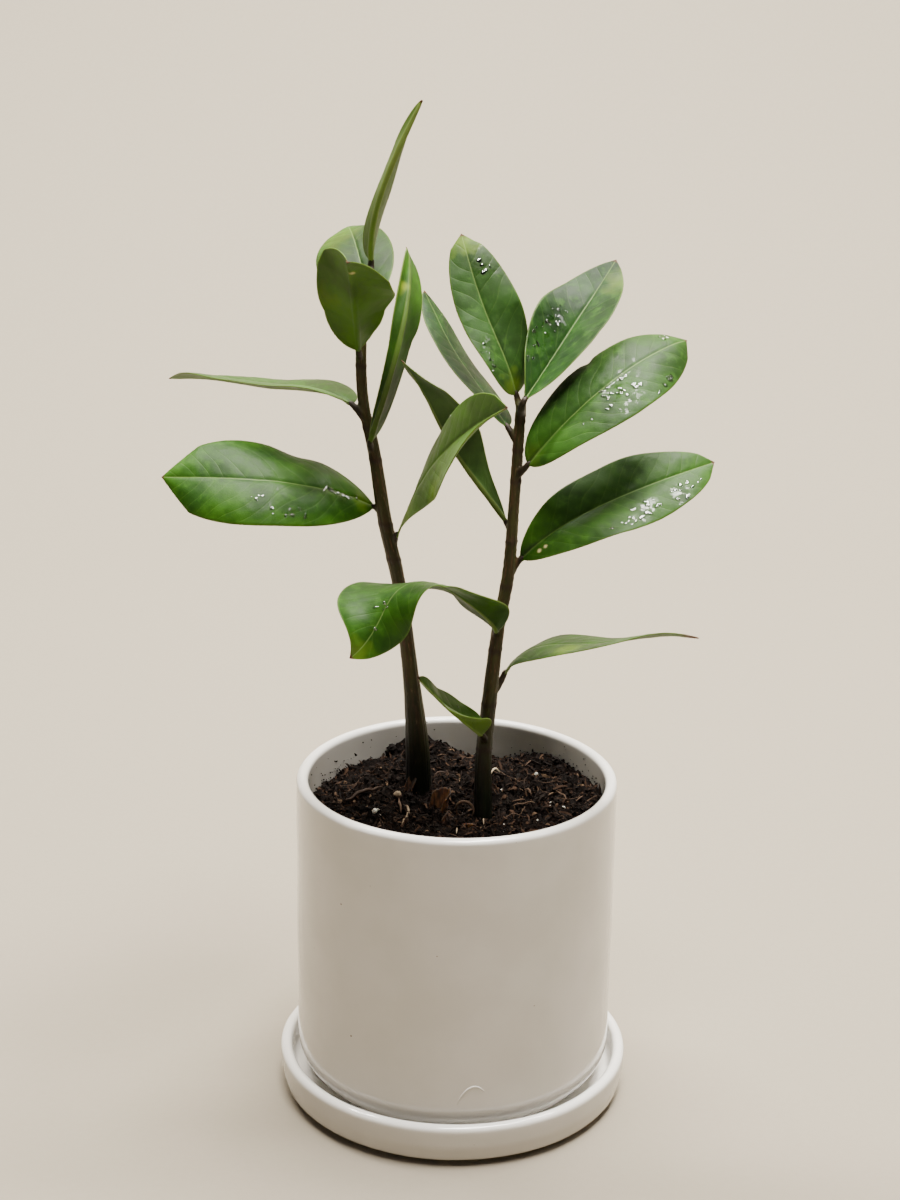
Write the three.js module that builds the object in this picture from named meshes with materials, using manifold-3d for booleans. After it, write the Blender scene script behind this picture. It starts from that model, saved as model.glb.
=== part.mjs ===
// A potted ZZ plant: two upright stems with glossy leaflets, standing in dark
// potting soil, in a round white glazed pot on a matching saucer.
//
// Units are millimetres and +Z is up. The origin is the middle of the saucer's
// underside. The plant is seen from -Y, with +X to the right.
//
// Each leaflet is one closed blade. Its midrib is a curve that starts at the
// end of a short stalk and bends, sweeps and twists on its way to the tip. The
// two halves of the blade rise from the midrib like a shallow V and curl over
// towards their edges.
import * as THREE from 'three';
import { mergeVertices } from 'three/addons/utils/BufferGeometryUtils.js';
import Module from 'manifold-3d';

// ---------------------------------------------------------------------------
// Driving dimensions
// ---------------------------------------------------------------------------

const TOUCH_GAP = 0.3; // between pieces that rest on or in each other
const ROUND_STEPS = 48; // facets round the pot, the saucer and the soil

const ARC_STEPS = { rim: 6, corner: 5 }; // facets along a rounded edge

const SAUCER = {
  footRadius: 64,
  footHeight: 1.8,
  footSlant: 0.6,
  bodyRadius: 69.5,
  bodyBevel: 1.6,
  waistHeight: 9,
  waistRadius: 70.9,
  lipOuterRadius: 71.2,
  lipInnerRadius: 66.3,
  height: 18,
  floorHeight: 7,
  floorCornerRadius: 3,
};

const POT = {
  outerRadius: 64,
  wall: 4.8,
  rimHeight: 136,
  floorThickness: 6,
  footCornerRadius: 16,
  floorCornerRadius: 10,
  drainHoleRadius: 6,
};

const POT_FOOT = SAUCER.floorHeight + TOUCH_GAP; // height at which the pot stands

const SOIL = {
  level: 122,
  rings: 9,
  wallHeights: [
    // bearing in degrees, height of the soil's edge above its level
    [0, 3], [10, 4], [30, 2.5], [43, 3.5], [54, 3.3], [65, -0.3], [72, -2.3], [85, -1.5],
    [94, 2.5], [102, 7], [112, 6], [122, 0], [150, -0.5], [180, 1], [225, 0], [270, -1],
    [315, 1.5], [360, 3],
  ],
  heapStart: 0.6, // share of the radius from which the soil heads for its edge's height
  mounds: [
    // x, y, radius and height
    [-30, 30, 16, 3], [14, 26, 20, 4], [38, -6, 15, 3], [-34, -14, 18, 2.5],
    [-8, -8, 12, -2], [6, -38, 20, 1.5],
  ],
  ripples: [
    // radians per millimetre along x and along y, height
    [0.35, 0.41, 1.2], [0.8, 0.65, 0.6],
  ],
};

const BLADE = {
  thickness: 0.8,
  spineSteps: 96, // steps that carry the midrib's frame from stalk to tip
  rows: 12, // rows of facets along a blade that states no number of its own
  rowEasing: 0.7, // 0 spaces the rows evenly, 1 packs them at both ends
  columns: 3, // columns of facets on each side of the midrib
  baseHalfWidth: 1.3,
  tipHalfWidth: 0.4,
  tipSlope: 1.15, // half-width gained per millimetre back from the tip
  waveLead: 0.25, // share of a wave by which the right edge leads the midrib
  waveRise: 0.25, // share of the length over which the waves grow from each end
  noDent: [0, 0, 0, 1],
};

const STALK = {
  nodeRadius: 1.9,
  endRadius: 1.3,
  bladeGap: 0.6, // to the blade that it carries
  bendShare: 0.4, // share of its reach over which it runs in line with its blade
  steps: 5,
  sides: 8,
};

const STEM = {
  sides: 12,
  steps: 26,
  samples: 400, // places tried when looking for the height of a node
  holeTop: 20, // height above the soil's level up to which its hole is cut
};

// Points that each stem passes through, from its foot in the soil to its top,
// with its radius there.
const STEMS = {
  stem_left: [
    [-15.5, 15.5, 96, 4.4],
    [-15.5, 15.5, 122, 5.1],
    [-16.5, 15, 145, 4.5],
    [-19, 14.3, 171, 3.2],
    [-24, 13.3, 210, 2.7],
    [-30, 12.5, 238, 2.7],
    [-34.2, 12, 265, 2.4],
    [-38.2, 11.4, 284, 2.1],
    [-39.2, 11, 304, 2.1],
    [-38, 10.6, 322, 1.9],
    [-35.8, 10.2, 334, 1.7],
  ],
  stem_right: [
    [10.5, -11.5, 96, 3.2],
    [10.5, -11.3, 122, 3.5],
    [10.2, -10.2, 147, 3.1],
    [12.3, -9, 174, 2.9],
    [15, -7.8, 201, 2.5],
    [18.3, -5.6, 222, 2.4],
    [19.8, -2.6, 248, 2.1],
    [21.2, 0.4, 276, 2.1],
    [21.8, 1.7, 287, 1.9],
  ],
};

// Leaflets, each with its own values:
//   base      where the blade begins, at the end of its stalk
//   node      height of the stalk's foot on the stem
//   heading   compass bearing of the midrib's start, 0 is +X and 90 is +Y
//   rise      angle of the midrib's start above level
//   roll      turn of the blade about its midrib, its right edge upward
//   bend      degrees that the midrib turns downward, as a profile along it
//   sweep     degrees that the midrib turns to its right, as a profile
//   twist     degrees that the blade turns about its midrib, as a profile
//   fold      angle by which each half rises from the midrib, as a profile
//   cup       how far the edges curl back down, as a share of the half-width
//   belly     where along its length the blade is widest
//   tip       roundness of the outline, smaller is blunter
//   lop       share by which the right half is wider than the left
//   wave      height and number of the waves in the edges, and their start
//   dent      a dip in one edge: its side, place along the edge, depth and spread
//   rows      rows of facets along the blade, where it needs more than the others
const LEAFLETS = {
  left: [
    {
      base: [-35.6, 12.4, 338.8], node: 333, heading: -94, rise: 59, roll: -21,
      length: 69.5, width: 16, bend: [2, -20, -36, -30, 3], sweep: [-53, -24, -5],
      twist: [104, 51, -54, -182], fold: [65, 72, 76, 70], cup: 0.07, belly: 0.35, tip: 0.72,
      lop: -0.05, wave: [0.8, 1.5, 0.1],
    },
    {
      base: [-36.7, 13.5, 317.9], node: 313, heading: 88, rise: 18, roll: 42, length: 68.5,
      width: 31, bend: [-98, 29, 143], sweep: [-6, -19], twist: [-101, -5, -15],
      fold: [20, 7, -3], cup: 0.18, belly: 0.53, tip: 0.68, lop: -0.12, wave: [0.3, 2, 0.33],
    },
    {
      base: [-40, 6.7, 305.6], node: 301, heading: 267, rise: 51, roll: -26,
      length: 59.5, width: 37.5, bend: [108, -43, -48, 119, 31], sweep: [6, 13, -100],
      twist: [57, 70, 76, -22], fold: [22, 41, 33, 56], cup: 0.3, belly: 0.62, tip: 0.51,
      lop: 0.05, wave: [-1, 2, 0.13], dent: [-1, 0.16, 1.5, 0.05], rows: 18,
    },
    {
      base: [-35.5, 7.3, 270.2], node: 264, heading: -74, rise: 48, roll: 26, length: 84.5,
      width: 17, bend: [-118, -102, -69], sweep: [-13, 6], twist: [-50, -12, -221],
      fold: [62, 58, 7], cup: 0.26, belly: 0.58, tip: 0.33, lop: -0.33, wave: [0.4, 2, -0.05],
      dent: [-1, 0.55, 1.2, 0.04],
    },
    {
      base: [-42.9, 11, 284], node: 276.5, heading: 127, rise: 17, roll: -10, length: 86.5,
      width: 39, bend: [130, -45, 92], sweep: [-61, -12], twist: [29, -18, -20],
      fold: [22, 18, 14], cup: 0.19, belly: 0.49, tip: 0.59, lop: -0.16,
      wave: [-0.3, 2.5, -0.24],
    },
    {
      base: [-34.1, 15.6, 241.9], node: 238, heading: 219, rise: 31, roll: 53, length: 88.5,
      width: 41.5, bend: [76, 57, 83], sweep: [-3, 42], twist: [-47, 12, 81],
      fold: [9, 13, 13], cup: 0.37, belly: 0.56, tip: 0.6, lop: 0.03, wave: [0.2, 2.5, 0.26],
      dent: [1, 0.38, 2.2, 0.1],
    },
    {
      base: [-25.2, 9.6, 232.5], node: 223.5, heading: -71, rise: 47, roll: -68,
      length: 115.5, width: 31, bend: [0, 34, -10], sweep: [0, 38], twist: [-6, -19, 75],
      fold: [-7, 5, 44], cup: 0.11, belly: 0.67, tip: 0.66, lop: 0.2, wave: [-0.4, 2, 0.18],
    },
  ],
  right: [
    {
      base: [19.9, 3.9, 290.4], node: 285, heading: 226, rise: 76, roll: 83, length: 65,
      width: 25.5, bend: [134, -10, 60], sweep: [19, 21], twist: [46, 67, -83],
      fold: [10, 17, 0], cup: 0.17, belly: 0.45, tip: 0.56, lop: 0.12, wave: [-0.7, 2, -0.47],
    },
    {
      base: [23, -5.4, 290.8], node: 283, heading: 69, rise: 17, roll: -29, length: 75,
      width: 32, bend: [-125, 11, -10], sweep: [15, -10], twist: [45, 30, -20],
      fold: [53, 34, -6], cup: -0.03, belly: 0.48, tip: 0.8, lop: 0.03, wave: [1, 2, 0.49],
    },
    {
      base: [16.7, 1.2, 278.5], node: 272, heading: 128, rise: 41, roll: -14, length: 69,
      width: 23.5, bend: [41, -29, 6], sweep: [-7, 17], twist: [-71, 25, -1],
      fold: [11, 2, -3], cup: 0.15, belly: 0.44, tip: 0.74, lop: 0.11, wave: [0.4, 2, 0.27],
    },
    {
      base: [24.8, -5.1, 265.4], node: 260, heading: -19, rise: 54, roll: -63, length: 86,
      width: 34, bend: [61, 72, 120], sweep: [-21, -9], twist: [55, -38, -34],
      fold: [34, 10, -2], cup: 0.29, belly: 0.47, tip: 0.65, lop: 0.05,
      wave: [-0.4, 2.5, 0.04], dent: [-1, 0.52, 0.9, 0.03],
    },
    {
      base: [23, -5.1, 227.9], node: 219.5, heading: -30, rise: 48, roll: -89, length: 87.5,
      width: 32, bend: [153, 33, 26], sweep: [16, -10], twist: [94, -7, -57],
      fold: [32, 13, 12], cup: 0.17, belly: 0.52, tip: 0.7, lop: 0.04, wave: [0.7, 2.5, -0.1],
    },
    {
      base: [17, 3.2, 240.3], node: 237, heading: 198, rise: 56, roll: -49, length: 80.5,
      width: 34, bend: [60, -57, 106], sweep: [-7, -5], twist: [-31, 91, 43],
      fold: [78, 54, 10], cup: 0.23, belly: 0.71, tip: 0.32, lop: 0.07, wave: [0.7, 2, -0.42],
    },
    {
      base: [17.9, -5.8, 181.5], node: 172, heading: -50, rise: 67, roll: -25,
      length: 93.5, width: 29.5, bend: [240, 130, -70, 34, 119], sweep: [-2, 11, -14],
      twist: [19, 37, 40, 39], fold: [-4, -1, 5, 9], cup: 0.1, belly: 0.48, tip: 0.75,
      lop: -0.15, wave: [0.6, 2, 0.05], rows: 16,
    },
    {
      base: [14, -11.5, 200.4], node: 194, heading: 272, rise: 33, roll: 11,
      length: 89.5, width: 41, bend: [-86, -54, 46, 239, 392, -81, -160],
      sweep: [223, 168, -72, 8, 281], twist: [-47, 146, -37, 100, 350, 160],
      fold: [30, 11, -11, 1, 9], cup: -0.06, belly: 0.53, tip: 0.86, lop: 0.17,
      wave: [-1, 2, -0.26], rows: 20,
    },
    {
      base: [9.1, -14.8, 158.9], node: 153.5, heading: 221, rise: 41.5, roll: 10.5,
      length: 42.5, width: 18.5, bend: [-3, 3, -12, -10, -4], sweep: [7, 16, 9],
      twist: [20, 25, 36, 33], fold: [75, 36, 14, 30], cup: 0.05, belly: 0.37, tip: 0.65,
      lop: -0.12, wave: [0.3, 2, -0.02],
    },
  ],
};

// ---------------------------------------------------------------------------
// Materials
// ---------------------------------------------------------------------------

function material(colour, roughness) {
  return new THREE.MeshStandardMaterial({ color: colour, roughness, metalness: 0 });
}

const MATERIALS = {
  glaze: () => material(0xe9e8e5, 0.12),
  soil: () => material(0x3a2c24, 0.95),
  stem: () => material(0x4a4433, 0.55),
  leaf: () => material(0x4c6b33, 0.3),
};

// ---------------------------------------------------------------------------
// Helpers
// ---------------------------------------------------------------------------

const wasm = await Module();
wasm.setup();

const UP = new THREE.Vector3(0, 0, 1);
const radians = THREE.MathUtils.degToRad;

function fromList([x, y, z]) {
  return new THREE.Vector3(x, y, z);
}

// The value at u, 0 to 1, of a profile that is a list of evenly spaced values.
function profileAt(values, u) {
  const place = u * (values.length - 1);
  const index = Math.max(Math.min(Math.floor(place), values.length - 2), 0);
  const next = Math.min(index + 1, values.length - 1);
  return THREE.MathUtils.lerp(values[index], values[next], place - index);
}

// Two perpendicular directions, both turned by an angle from a towards b.
function turned(a, b, angle) {
  const cos = Math.cos(angle);
  const sin = Math.sin(angle);
  const newA = a.clone().multiplyScalar(cos).addScaledVector(b, sin);
  const newB = b.clone().multiplyScalar(cos).addScaledVector(a, -sin);
  return [newA, newB];
}

function bodyFrom(vertices, triangles) {
  const geometry = new THREE.BufferGeometry();
  const positions = vertices.flatMap((vertex) => [vertex.x, vertex.y, vertex.z]);
  geometry.setAttribute('position', new THREE.Float32BufferAttribute(positions, 3));
  geometry.setIndex(triangles);
  return geometry;
}

function toSolid(geometry) {
  const bare = geometry.clone();
  bare.deleteAttribute('normal');
  bare.deleteAttribute('uv');
  const merged = mergeVertices(bare, 1e-4);
  return new wasm.Manifold(new wasm.Mesh({
    numProp: 3,
    vertProperties: new Float32Array(merged.attributes.position.array),
    triVerts: new Uint32Array(merged.index.array),
  }));
}

function fromSolid(solid) {
  const { vertProperties, triVerts } = solid.getMesh();
  const geometry = new THREE.BufferGeometry();
  geometry.setAttribute('position', new THREE.BufferAttribute(vertProperties, 3));
  geometry.setIndex(new THREE.BufferAttribute(triVerts, 1));
  return geometry;
}

function namedMesh(name, geometry, meshMaterial) {
  const shaded = geometry.index ? geometry.toNonIndexed() : geometry;
  shaded.computeVertexNormals();
  const mesh = new THREE.Mesh(shaded, meshMaterial);
  mesh.name = name;
  return mesh;
}

// Points of an arc in a profile, from one angle to another in degrees.
function arc(centreRadius, centreHeight, radius, from, to, steps) {
  const points = [];
  for (let i = 0; i <= steps; i += 1) {
    const angle = radians(THREE.MathUtils.lerp(from, to, i / steps));
    const x = centreRadius + radius * Math.cos(angle);
    const y = centreHeight + radius * Math.sin(angle);
    points.push(new THREE.Vector2(x, y));
  }
  return points;
}

// A profile of radius and height turned about the upright axis.
function revolved(profile) {
  const geometry = new THREE.LatheGeometry(profile, ROUND_STEPS);
  geometry.rotateX(Math.PI / 2);
  return geometry;
}

// A round, tapered rod through a list of centres, closed at both ends.
function taperedRod(centres, radii, sides) {
  const vertices = [];
  const triangles = [];
  let side = new THREE.Vector3(1, 0, 0);
  centres.forEach((centre, ring) => {
    const before = centres[Math.max(ring - 1, 0)];
    const after = centres[Math.min(ring + 1, centres.length - 1)];
    const along = after.clone().sub(before).normalize();
    side = side.clone().addScaledVector(along, -side.dot(along)).normalize();
    const other = along.clone().cross(side);
    for (let k = 0; k < sides; k += 1) {
      const angle = 2 * Math.PI * k / sides;
      const vertex = centre.clone();
      vertex.addScaledVector(side, radii[ring] * Math.cos(angle));
      vertex.addScaledVector(other, radii[ring] * Math.sin(angle));
      vertices.push(vertex);
    }
  });
  for (let ring = 0; ring < centres.length - 1; ring += 1) {
    for (let k = 0; k < sides; k += 1) {
      const a = ring * sides + k;
      const b = ring * sides + (k + 1) % sides;
      triangles.push(a, b, b + sides, a, b + sides, a + sides);
    }
  }
  const last = (centres.length - 1) * sides;
  for (let k = 1; k < sides - 1; k += 1) {
    triangles.push(0, k + 1, k);
    triangles.push(last, last + k, last + k + 1);
  }
  return bodyFrom(vertices, triangles);
}

// ---------------------------------------------------------------------------
// Saucer and pot
// ---------------------------------------------------------------------------

function saucerGeometry() {
  const s = SAUCER;
  const lipRadius = (s.lipOuterRadius - s.lipInnerRadius) / 2;
  const lipCentre = s.lipInnerRadius + lipRadius;
  const lipHeight = s.height - lipRadius;
  const wallFoot = s.floorHeight + s.floorCornerRadius;
  const floorEdge = s.lipInnerRadius - s.floorCornerRadius;
  return revolved([
    new THREE.Vector2(0, 0),
    new THREE.Vector2(s.footRadius, 0),
    new THREE.Vector2(s.footRadius + s.footSlant, s.footHeight),
    new THREE.Vector2(s.bodyRadius - s.bodyBevel, s.footHeight),
    new THREE.Vector2(s.bodyRadius, s.footHeight + s.bodyBevel),
    new THREE.Vector2(s.waistRadius, s.waistHeight),
    ...arc(lipCentre, lipHeight, lipRadius, 0, 180, ARC_STEPS.rim),
    ...arc(floorEdge, wallFoot, s.floorCornerRadius, 0, -90, ARC_STEPS.corner),
    new THREE.Vector2(0, s.floorHeight),
  ]);
}

// Drawn from the pot's own foot upward, round a drain hole in its floor.
function potGeometry(height) {
  const p = POT;
  const innerRadius = p.outerRadius - p.wall;
  const rimRadius = p.wall / 2;
  const rimCentre = p.outerRadius - rimRadius;
  const footCentre = p.outerRadius - p.footCornerRadius;
  const floorCentre = innerRadius - p.floorCornerRadius;
  const cornerHeight = p.floorThickness + p.floorCornerRadius;
  return revolved([
    new THREE.Vector2(p.drainHoleRadius, 0),
    ...arc(footCentre, p.footCornerRadius, p.footCornerRadius, -90, 0, ARC_STEPS.corner),
    ...arc(rimCentre, height - rimRadius, rimRadius, 0, 180, ARC_STEPS.rim),
    ...arc(floorCentre, cornerHeight, p.floorCornerRadius, 0, -90, ARC_STEPS.corner),
    new THREE.Vector2(p.drainHoleRadius, p.floorThickness),
    new THREE.Vector2(p.drainHoleRadius, 0),
  ]);
}

// ---------------------------------------------------------------------------
// Stems
// ---------------------------------------------------------------------------

function stemCurve(points) {
  return new THREE.CatmullRomCurve3(points.map(fromList), false, 'centripetal');
}

// Centres and radii of a stem's rings, from its foot to its top.
function stemRings(points, extraRadius) {
  const centres = stemCurve(points).getPoints(STEM.steps);
  const givenRadii = points.map((point) => point[3]);
  const radii = centres.map((_, i) => profileAt(givenRadii, i / STEM.steps) + extraRadius);
  return { centres, radii };
}

// The stem's centre at a height.
function stemCentreAt(points, height) {
  const samples = stemCurve(points).getPoints(STEM.samples);
  const distance = (point) => Math.abs(point.z - height);
  return samples.reduce((best, point) => (distance(point) < distance(best) ? point : best));
}

// A stalk curves out of the stem and meets its blade end on.
function stalkSolid(points, leaf) {
  const along = startDirection(leaf);
  const start = stemCentreAt(points, leaf.node);
  const end = fromList(leaf.base).addScaledVector(along, -STALK.bladeGap);
  const reach = start.distanceTo(end);
  const bendPoint = end.clone().addScaledVector(along, -reach * STALK.bendShare);
  const curve = new THREE.QuadraticBezierCurve3(start, bendPoint, end);
  const centres = curve.getPoints(STALK.steps);
  const radii = centres.map((_, i) => {
    return THREE.MathUtils.lerp(STALK.nodeRadius, STALK.endRadius, Math.sqrt(i / STALK.steps));
  });
  return toSolid(taperedRod(centres, radii, STALK.sides));
}

function stemGeometry(name, leaflets) {
  const points = STEMS[name];
  const { centres, radii } = stemRings(points, 0);
  let solid = toSolid(taperedRod(centres, radii, STEM.sides));
  for (const leaf of leaflets) {
    solid = solid.add(stalkSolid(points, leaf));
  }
  return fromSolid(solid);
}

// The stretch of a stem that stands in the soil, a little wider and deeper.
function stemHoleSolid(name) {
  const { centres, radii } = stemRings(STEMS[name], TOUCH_GAP);
  const count = centres.findIndex((centre) => centre.z > SOIL.level + STEM.holeTop) + 1;
  centres[0].addScaledVector(UP, -TOUCH_GAP);
  return toSolid(taperedRod(centres.slice(0, count), radii.slice(0, count), STEM.sides));
}

// ---------------------------------------------------------------------------
// Soil
// ---------------------------------------------------------------------------

function wallHeightAt(bearing) {
  const table = SOIL.wallHeights;
  const after = Math.max(table.findIndex(([angle]) => angle >= bearing), 1);
  const [angleA, heightA] = table[after - 1];
  const [angleB, heightB] = table[after];
  const share = (bearing - angleA) / (angleB - angleA);
  return THREE.MathUtils.lerp(heightA, heightB, share);
}

// Height of the soil's loose top: mounds in the middle, piled up at the wall.
function soilHeightAt(x, y, outerRadius) {
  let mounds = 0;
  for (const [moundX, moundY, radius, height] of SOIL.mounds) {
    const distance = Math.hypot(x - moundX, y - moundY) / radius;
    mounds += height * Math.exp(-distance * distance);
  }
  const bearing = (THREE.MathUtils.radToDeg(Math.atan2(y, x)) + 360) % 360;
  const nearWall = THREE.MathUtils.smoothstep(Math.hypot(x, y) / outerRadius, SOIL.heapStart, 1);
  let height = SOIL.level + THREE.MathUtils.lerp(mounds, wallHeightAt(bearing), nearWall);
  for (const [turnX, turnY, rippleHeight] of SOIL.ripples) {
    height += rippleHeight * Math.sin(x * turnX) * Math.cos(y * turnY) * (1 - nearWall);
  }
  return height;
}

function soilGeometry() {
  const outerRadius = POT.outerRadius - POT.wall - TOUCH_GAP;
  const bottom = POT_FOOT + POT.floorThickness + TOUCH_GAP;
  const vertices = [new THREE.Vector3(0, 0, soilHeightAt(0, 0, outerRadius))];
  const triangles = [];
  const addRing = (radius, heightAt) => {
    for (let k = 0; k < ROUND_STEPS; k += 1) {
      const angle = 2 * Math.PI * k / ROUND_STEPS;
      const x = radius * Math.cos(angle);
      const y = radius * Math.sin(angle);
      vertices.push(new THREE.Vector3(x, y, heightAt(x, y)));
    }
  };
  for (let ring = 1; ring <= SOIL.rings; ring += 1) {
    addRing(outerRadius * ring / SOIL.rings, (x, y) => soilHeightAt(x, y, outerRadius));
  }
  addRing(outerRadius, () => bottom + POT.floorCornerRadius);
  addRing(outerRadius - POT.floorCornerRadius, () => bottom);
  vertices.push(new THREE.Vector3(0, 0, bottom));
  const rings = SOIL.rings + 2;
  for (let k = 0; k < ROUND_STEPS; k += 1) {
    const next = (k + 1) % ROUND_STEPS;
    triangles.push(0, 1 + k, 1 + next);
    for (let ring = 0; ring < rings - 1; ring += 1) {
      const a = 1 + ring * ROUND_STEPS + k;
      const b = 1 + ring * ROUND_STEPS + next;
      triangles.push(a, a + ROUND_STEPS, b + ROUND_STEPS, a, b + ROUND_STEPS, b);
    }
    const lastRing = 1 + (rings - 1) * ROUND_STEPS;
    triangles.push(vertices.length - 1, lastRing + next, lastRing + k);
  }
  let solid = toSolid(bodyFrom(vertices, triangles));
  for (const name of Object.keys(STEMS)) {
    solid = solid.subtract(stemHoleSolid(name));
  }
  return fromSolid(solid);
}

// ---------------------------------------------------------------------------
// Leaflets
// ---------------------------------------------------------------------------

function startDirection(leaf) {
  const heading = radians(leaf.heading);
  const rise = radians(leaf.rise);
  return new THREE.Vector3(
    Math.cos(heading) * Math.cos(rise),
    Math.sin(heading) * Math.cos(rise),
    Math.sin(rise),
  );
}

// Centre, forward, right and up directions at each step along the midrib, in
// the blade's own frame, which starts at its base.
function midribFrames(leaf) {
  const steps = BLADE.spineSteps;
  const centre = new THREE.Vector3();
  let along = startDirection(leaf);
  let right = along.clone().cross(UP).normalize();
  let up = right.clone().cross(along);
  [right, up] = turned(right, up, radians(leaf.roll));
  const frames = [{ centre: centre.clone(), along, right, up }];
  for (let step = 0; step < steps; step += 1) {
    const u = (step + 0.5) / steps;
    [along, up] = turned(along, up, -radians(profileAt(leaf.bend, u)) / steps);
    [along, right] = turned(along, right, radians(profileAt(leaf.sweep, u)) / steps);
    [right, up] = turned(right, up, radians(profileAt(leaf.twist, u)) / steps);
    centre.addScaledVector(along, leaf.length / steps);
    frames.push({ centre: centre.clone(), along, right, up });
  }
  return frames;
}

function halfWidthAt(leaf, u) {
  const baseRoundness = leaf.tip * leaf.belly / (1 - leaf.belly);
  const rising = (u / leaf.belly) ** baseRoundness;
  const falling = ((1 - u) / (1 - leaf.belly)) ** leaf.tip;
  const pointed = BLADE.tipSlope * (1 - u) * leaf.length;
  const outline = Math.min(leaf.width / 2 * rising * falling, pointed);
  const least = THREE.MathUtils.lerp(BLADE.baseHalfWidth, BLADE.tipHalfWidth, u);
  return Math.max(outline, least);
}

// How far a dip in an edge takes the blade in, on the side that has it.
function dentAt(leaf, u, side) {
  const [dentSide, place, depth, spread] = leaf.dent ?? BLADE.noDent;
  return dentSide === side ? depth * Math.exp(-(((u - place) / spread) ** 2)) : 0;
}

// A point of the blade's upper face. v runs from -1 at the left edge, over 0 at
// the midrib, to 1 at the right edge.
function bladePoint(leaf, frame, u, v) {
  const half = halfWidthAt(leaf, u);
  const side = Math.sign(v);
  const reach = Math.abs(v) * (half * (1 + leaf.lop * side) - dentAt(leaf, u, side));
  const fold = radians(profileAt(leaf.fold, u));
  const [waveHeight, waveCount, waveStart] = leaf.wave;
  const phase = waveCount * u + waveStart + BLADE.waveLead * side;
  const ends = Math.min(1, u / BLADE.waveRise, (1 - u) / BLADE.waveRise);
  const wave = waveHeight * ends * v * v * Math.sin(2 * Math.PI * phase);
  const lift = reach * Math.sin(fold) - leaf.cup * half * v * v + wave;
  return frame.centre.clone()
    .addScaledVector(frame.right, side * reach * Math.cos(fold))
    .addScaledVector(frame.up, lift);
}

// Rows of facets lie closer together towards the blade's ends.
function rowPlace(row, rows) {
  const t = row / rows;
  const eased = (1 - Math.cos(Math.PI * t)) / 2;
  const step = Math.round(THREE.MathUtils.lerp(t, eased, BLADE.rowEasing) * BLADE.spineSteps);
  return step / BLADE.spineSteps;
}

function bladeGeometry(leaf) {
  const frames = midribFrames(leaf);
  const rows = leaf.rows ?? BLADE.rows;
  const columns = 2 * BLADE.columns;
  const upper = [];
  for (let row = 0; row <= rows; row += 1) {
    const u = rowPlace(row, rows);
    const frame = frames[Math.round(u * BLADE.spineSteps)];
    const points = [];
    for (let column = 0; column <= columns; column += 1) {
      points.push(bladePoint(leaf, frame, u, column / BLADE.columns - 1));
    }
    upper.push(points);
  }
  const lower = upper.map((points, row) => points.map((point, column) => {
    const before = upper[Math.max(row - 1, 0)][column];
    const after = upper[Math.min(row + 1, rows)][column];
    const left = points[Math.max(column - 1, 0)];
    const right = points[Math.min(column + 1, columns)];
    const normal = right.clone().sub(left).cross(after.clone().sub(before)).normalize();
    return point.clone().addScaledVector(normal, -BLADE.thickness);
  }));
  const stride = columns + 1;
  const lowerStart = (rows + 1) * stride;
  const triangles = [];
  // A quad a, b, c, d seen counter-clockwise from outside, cut from a to c.
  const quad = (a, b, c, d) => triangles.push(a, b, c, a, c, d);
  for (let row = 0; row < rows; row += 1) {
    const here = row * stride;
    const next = here + stride;
    for (let column = 0; column < columns; column += 1) {
      const a = here + column;
      const c = next + column + 1;
      quad(a, a + 1, c, c - 1);
      quad(a + lowerStart, c - 1 + lowerStart, c + lowerStart, a + 1 + lowerStart);
    }
    quad(here, next, next + lowerStart, here + lowerStart);
    const rightHere = here + columns;
    const rightNext = next + columns;
    quad(rightHere, rightHere + lowerStart, rightNext + lowerStart, rightNext);
  }
  const lastRow = rows * stride;
  for (let column = 0; column < columns; column += 1) {
    const base = column;
    const tip = lastRow + column;
    quad(base, base + lowerStart, base + 1 + lowerStart, base + 1);
    quad(tip, tip + 1, tip + 1 + lowerStart, tip + lowerStart);
  }
  return bodyFrom([...upper.flat(), ...lower.flat()], triangles);
}

// ---------------------------------------------------------------------------
// Assembly
// ---------------------------------------------------------------------------

const group = new THREE.Group();

group.add(namedMesh('saucer', saucerGeometry(), MATERIALS.glaze()));

const pot = namedMesh('pot', potGeometry(POT.rimHeight - POT_FOOT), MATERIALS.glaze());
pot.position.z = POT_FOOT;
group.add(pot);

group.add(namedMesh('soil', soilGeometry(), MATERIALS.soil()));

for (const stemName of Object.keys(STEMS)) {
  const side = stemName.replace('stem_', '');
  const leaflets = LEAFLETS[side];
  group.add(namedMesh(stemName, stemGeometry(stemName, leaflets), MATERIALS.stem()));
  leaflets.forEach((leaf, index) => {
    const name = `leaflet_${side}_${index + 1}`;
    const blade = namedMesh(name, bladeGeometry(leaf), MATERIALS.leaf());
    blade.position.set(...leaf.base);
    group.add(blade);
  });
}

export default group;
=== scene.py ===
import math

import bmesh
import bpy
import numpy as np
from mathutils import Matrix, Vector, noise


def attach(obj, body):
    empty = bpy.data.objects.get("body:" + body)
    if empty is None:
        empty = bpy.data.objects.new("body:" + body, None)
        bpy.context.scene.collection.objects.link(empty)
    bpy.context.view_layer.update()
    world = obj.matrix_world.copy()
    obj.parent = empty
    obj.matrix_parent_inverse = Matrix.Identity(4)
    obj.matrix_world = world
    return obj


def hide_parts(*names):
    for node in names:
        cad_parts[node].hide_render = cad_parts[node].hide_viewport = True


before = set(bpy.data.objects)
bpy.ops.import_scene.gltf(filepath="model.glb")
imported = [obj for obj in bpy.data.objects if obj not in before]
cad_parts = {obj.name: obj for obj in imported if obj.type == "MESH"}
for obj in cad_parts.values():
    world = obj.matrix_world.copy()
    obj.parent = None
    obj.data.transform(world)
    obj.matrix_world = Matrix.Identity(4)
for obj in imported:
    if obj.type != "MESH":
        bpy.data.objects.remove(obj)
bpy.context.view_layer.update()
MM = 0.001


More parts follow.
